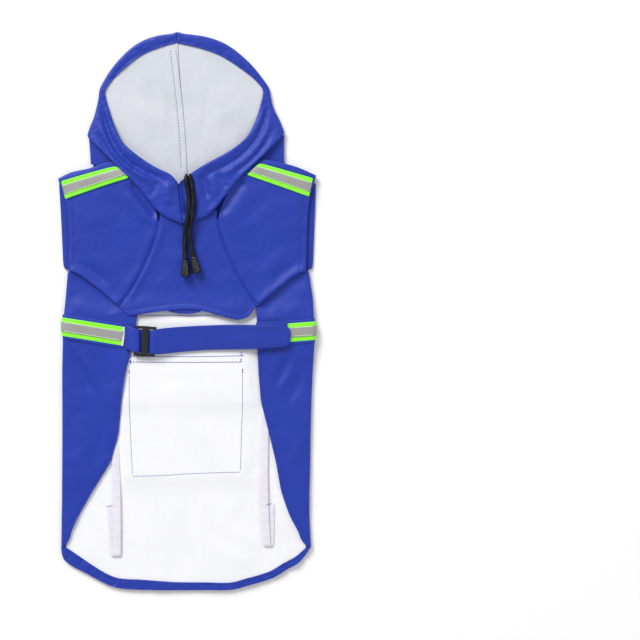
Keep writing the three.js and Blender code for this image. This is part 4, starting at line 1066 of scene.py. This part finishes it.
@dataclass
class Reflectives:
    """Lime tapes with their silver film, the blue band under the waist tape, and its folded end."""

    drawn_in: float = 0.94
    band_margin: float = 1.24
    band_drop: float = 0.42
    band_draw: float = 0.995
    end_place: tuple[float, float, float] = (-64.3, -24.6, 9.1)
    end_size: tuple[float, float, float] = (2.2, 19.4, 0.9)
    cover_place: tuple[float, float, float] = (83.6, -17.4, 10.08)
    cover_size: tuple[float, float, float] = (31.0, 15.0, 0.3)
    film_width: float = 9.8

    def build(self) -> list[bpy.types.Object]:
        """Makes the tapes.

        Returns:
            The pieces.
        """
        sizes = {
            "waist_tape_back": (244, 20, 1.0), "waist_tape_left": (75, 20, 0.95), "waist_tape_right": (70, 20, 0.95),
            "shoulder_tape_left": (56, 19, 1.0), "shoulder_tape_right": (58, 19, 1.0),
        }
        pieces = []
        for node, (width, length, share) in sizes.items():
            held = Held.FOLDED if node in ("waist_tape_left", "waist_tape_right") else Held.LAID
            layer = Layer.FRONT if node.startswith("shoulder") else Layer.OUTSIDE
            film = node.replace("tape", "film")
            pieces += [
                Panel(node, LIME_TAPE, "tape", layer, width, length, share, held,
                      drawn_in=self.drawn_in if node.startswith("waist") else 1.0).build(),
                Panel(film, BEAD_FILM, "film", layer, width, self.film_width, share, held, rests_on=(node,)).build(),
            ]
        for side in ("back", "left", "right"):
            self._band(side)
        add_slip("waist_tape_fold", self.end_place, self.end_size, -7, 0.27, KNITTED_ELASTIC)
        add_slip("waist_band_cover", self.cover_place, self.cover_size, 4.5, 0.09, RAIN_CLOTH)
        return pieces

    def _band(self, side: str) -> None:
        """Makes the blue band that shows along both edges of a waist tape."""
        node = f"waist_tape_{side}"
        shape = copy_of(node)
        scale_across(shape, self.band_margin)
        drop = -self.band_drop if side == "back" else self.band_drop
        for vert in shape.verts:
            vert.co.x *= self.band_draw
            vert.co.z -= drop * MM
        split_faces(shape)
        round_rims(shape, ROUNDING)
        piece = add_object(f"waist_band_{side}", shape)
        subdivided(piece, 1)
        settle(piece, Layer.OUTSIDE)
        finish_piece(piece, RAIN_CLOTH)

    def seams(self) -> list[Seam]:
        """Rows along the edges of the tapes.

        Returns:
            The rows.
        """
        return self._rows((0.06, 0.94), LIME_THREAD, 0.4)

    def film_seams(self) -> list[Seam]:
        """Pale rows along the edges of the film.

        Returns:
            The rows.
        """
        return self._rows((0.265, 0.735), PALE_THREAD, 0.85)

    def _rows(self, shares: Sequence[float], thread: Finish, width: float) -> list[Seam]:
        """Rows at some shares of the tapes' width."""
        rows = []
        for corners in (
            ((-126.6, 129.8), (-74.6, 144.6), (-122.4, 112), (-61.6, 132.8)),
            ((124.4, 132.8), (71, 147.8), (120.4, 114.4), (58.6, 136)),
            ((-123, -5.6), (-64.4, -15.4), (-124, -24), (-67, -33.6)),
            ((124, -10), (104, -11.2), (124, -28), (104, -29.4)),
        ):
            upper, lower = corners[:2], corners[2:]
            for share in shares:
                route = [tuple(a + (b - a) * share for a, b in zip(high, low)) for high, low in zip(upper, lower)]
                rows.append(Seam(route, thread, 2.4, 0.15, width))
        return rows


@dataclass
class WaistBelt:
    """Belt in two lengths through the slide buckle."""

    buckle_rounding: float = 0.55
    turn_place: tuple[float, float, float] = (-42.6, -29.6, 7.7)
    turn_size: tuple[float, float, float] = (15, 23, 1.1)

    def build(self) -> list[bpy.types.Object]:
        """Makes the belt and the buckle.

        Returns:
            The cloth pieces.
        """
        belts = [
            Panel("belt_left", RAIN_CLOTH, "cloth", Layer.BELT, 20, 25, 0.95, Held.FOLDED, rests_on=("buckle",)),
            Panel("belt_right", RAIN_CLOTH, "cloth", Layer.BELT, 145, 25, 1.0, Held.STRETCHED, 2, ("buckle",)),
        ]
        self._buckle()
        add_slip("belt_under_bar", self.turn_place, self.turn_size, -4, 0.4, RAIN_CLOTH)
        return [belt.build() for belt in belts]

    def _buckle(self) -> None:
        """Rounds the moulded slide buckle all over."""
        shape = copy_of("buckle")
        bmesh.ops.dissolve_limit(shape, angle_limit=math.radians(3), verts=shape.verts, edges=shape.edges)
        rims = [edge for edge in shape.edges if edge.calc_face_angle(0) > WALL_ANGLE]
        bmesh.ops.bevel(shape, geom=rims, offset=self.buckle_rounding * MM, offset_type="OFFSET", segments=3,
                        profile=0.5, affect="EDGES", material=-1, clamp_overlap=True)
        buckle = add_object("moulded_buckle", shape)
        settle(buckle, Layer.OUTSIDE)
        finish_piece(buckle, ACETAL)
        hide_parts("buckle")

    def seams(self) -> list[Seam]:
        """Edge stitching of the belt and the box round its hook-and-loop pad.

        Returns:
            The rows.
        """
        upper = ((-20, -18.4), (-6, -17.2), (16, -16), (42, -15.2), (58, -15.3), (80, -15.7), (94, -16.2),
                 (98.4, -18.6))
        lower = ((-20, -39.4), (-6, -37.8), (16, -36), (42, -35.4), (58, -35.2), (80, -34.2), (94, -33.2),
                 (98.4, -31.4), (99.6, -24.6), (98.4, -18.6))
        return [
            Seam(upper, CLOTH_THREAD), Seam(lower, CLOTH_THREAD),
            Seam(box_route(18.3, -32.2, 93, -18.6), CLOTH_THREAD, sharp=True),
            Seam(((-60.6, -16), (-61, -36)), CLOTH_THREAD),
        ]


@dataclass
class LegLoops:
    """Elastic loops that go round the hind legs."""

    def build(self) -> list[bpy.types.Object]:
        """Makes both loops.

        Returns:
            The pieces.
        """
        return [
            Panel(f"elastic_{side}", KNITTED_ELASTIC, "elastic", Layer.OUTSIDE, 8, length, 1.0, Held.LAID, 1,
                  ("back_lining",)).build()
            for side, length in (("left", 166), ("right", 188))
        ]


@dataclass
class Drawstring:
    """Two strands of braided cord that come out at the throat, each with a bell-shaped end."""

    diameter: float = 4.2
    left: Sequence[tuple[float, float, float]] = (
        (-1.4, 136.4, 13.9), (-1.5, 132.5, 15.1), (-0.9, 125, 15.2), (1.2, 111.5, 15.2), (-0.1, 93.8, 15.0),
        (-2.3, 81.4, 13.2), (-3.1, 71.4, 11.8), (-3.0, 61.4, 12.2), (-2.4, 51, 12.9),
    )
    right: Sequence[tuple[float, float, float]] = (
        (2.2, 136.6, 13.9), (2.8, 133, 15.1), (3.8, 126, 15.2), (5.9, 111.5, 15.2), (4.6, 93.8, 15.0),
        (2.7, 81.4, 13.2), (2.6, 71.6, 11.8), (3.8, 63, 12.2), (5.5, 54.6, 12.9),
    )
    # Radius and distance from the top of the bell-shaped end
    bell: Sequence[tuple[float, float]] = (
        (0.0, 0.0), (2.7, 0.0), (3.2, 0.5), (3.3, 1.3), (3.0, 1.9), (3.4, 3.2), (3.9, 7.0), (4.4, 11.0), (4.7, 13.4),
        (4.6, 14.8), (3.9, 15.9), (2.8, 16.4), (1.6, 16.2), (1.2, 15.4), (0.0, 15.4),
    )

    def build(self) -> None:
        """Makes the strands with their ends."""
        for side, route, turn in (("left", self.left, 0.0), ("right", self.right, 13.0)):
            end = self._end(side, route[-1], turn)
            strand = self._strand(side, route)

    def _strand(self, side: str, route: Sequence[tuple[float, float, float]]) -> bpy.types.Object:
        """Makes one strand as a smooth curve through its route."""
        curve = bpy.data.curves.new(f"braided_strand_{side}", "CURVE")
        curve.dimensions = "3D"
        curve.resolution_u = 6
        curve.bevel_depth = self.diameter / 2 * MM
        curve.bevel_resolution = 5
        curve.use_fill_caps = True
        spline = curve.splines.new("BEZIER")
        spline.bezier_points.add(len(route) - 1)
        for knot, place in zip(spline.bezier_points, route):
            knot.co = place_of(*place)
            knot.handle_left_type = "AUTO"
            knot.handle_right_type = "AUTO"
        spline.bezier_points[0].radius = 0.5
        strand = bpy.data.objects.new(f"braided_strand_{side}", curve)
        bpy.context.collection.objects.link(strand)
        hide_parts(f"cord_{side}")
        return finish_piece(strand, BRAIDED_CORD)

    def _end(self, side: str, tip: tuple[float, float, float], turn: float) -> bpy.types.Object:
        """Makes the moulded bell at the end of a strand."""
        shape = bmesh.new()
        profile = [shape.verts.new((radius * MM, -down * MM, 0)) for radius, down in self.bell]
        edges = [shape.edges.new(pair) for pair in zip(profile, profile[1:])]
        bmesh.ops.spin(shape, geom=[*profile, *edges], cent=(0, 0, 0), axis=(0, 1, 0), angle=2 * math.pi, steps=28,
                       use_merge=True, use_duplicate=False)
        bmesh.ops.remove_doubles(shape, verts=shape.verts, dist=WELD * MM)
        bmesh.ops.recalc_face_normals(shape, faces=shape.faces)
        place = Matrix.Translation(place_of(tip[0], tip[1] - 0.3, tip[2])) @ Matrix.Rotation(
            math.radians(turn), 4, "Z")
        bmesh.ops.transform(shape, matrix=place, verts=shape.verts)
        end = add_object(f"bell_end_{side}", shape)
        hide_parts(f"cord_end_{side}")
        return finish_piece(end, ACETAL)


@dataclass
class Studio:
    """Pale board, soft lights and the camera straight above the picture's middle."""

    camera_x: float = 131.3
    camera_y: float = -8.4
    camera_height: float = 1778.0
    board: float = 6000.0
    world_light: float = 0.42
    # Name, place in metres, side in metres and power in watts
    lamps: Sequence[tuple[str, tuple[float, float, float], float, float]] = (
        ("window", (-2.4, 3.7, 3.2), 2.4, 265), ("fill", (3.6, 0.8, 3.6), 4.0, 40), ("low", (0.4, -4.0, 2.4), 3.2, 28),
    )

    def build(self) -> None:
        """Makes the board, the lights and the camera."""
        board = bmesh.new()
        bmesh.ops.create_grid(board, x_segments=1, y_segments=1, size=self.board / 2 * MM)
        bmesh.ops.translate(board, vec=(0, 0, -BOARD_DROP * MM), verts=board.verts)
        floor = add_object("pale_board", board)
        dress(floor, PALE_BOARD)
        camera = bpy.data.cameras.new("above")
        camera.lens = 100
        camera.sensor_width = 36
        seat = bpy.data.objects.new("above", camera)
        seat.location = place_of(self.camera_x, self.camera_y, self.camera_height)
        bpy.context.collection.objects.link(seat)
        bpy.context.scene.camera = seat
        for lamp in self.lamps:
            self._light(*lamp)
        world = bpy.data.worlds.new("studio")
        world.use_nodes = True
        background = world.node_tree.nodes["Background"]
        background.inputs["Color"].default_value = (1, 1, 1, 1)
        background.inputs["Strength"].default_value = self.world_light
        bpy.context.scene.world = world
        bpy.context.scene.view_settings.view_transform = "Standard"

    @staticmethod
    def _light(name: str, place: tuple[float, float, float], size: float, power: float) -> None:
        """Adds a square area light that faces the coat."""
        lamp = bpy.data.lights.new(name, "AREA")
        lamp.size = size
        lamp.energy = power
        holder = bpy.data.objects.new(name, lamp)
        holder.location = place
        holder.rotation_euler = (-Vector(place)).to_track_quat("-Z", "Y").to_euler()
        bpy.context.collection.objects.link(holder)


def main() -> None:
    """Builds the coat, sews it and sets the studio."""
    logging.basicConfig(level=logging.INFO)
    Studio().build()
    Drawstring().build()
    body, front, hood, tapes, belt = BodyCloth(), FrontCloth(), HoodCloth(), Reflectives(), WaistBelt()
    cloths = [piece for part in (body, front, hood, tapes, belt, LegLoops()) for piece in part.build()]
    sewing = Sewing(cloths)
    sewing.back("seam_allowances", (ALLOWANCE_LEFT, ALLOWANCE_RIGHT, HOOD_TOP, THROAT), RAIN_CLOTH, "cloth")
    sewing.sew("lining_stitches", [*body.seams(), *hood.seams()])
    sewing.sew("cloth_stitches", [*front.seams(), *belt.seams(), *body.outside_seams()])
    sewing.sew("tape_stitches", tapes.seams())
    sewing.sew("film_stitches", tapes.film_seams())


if __name__ == "__main__":
    main()
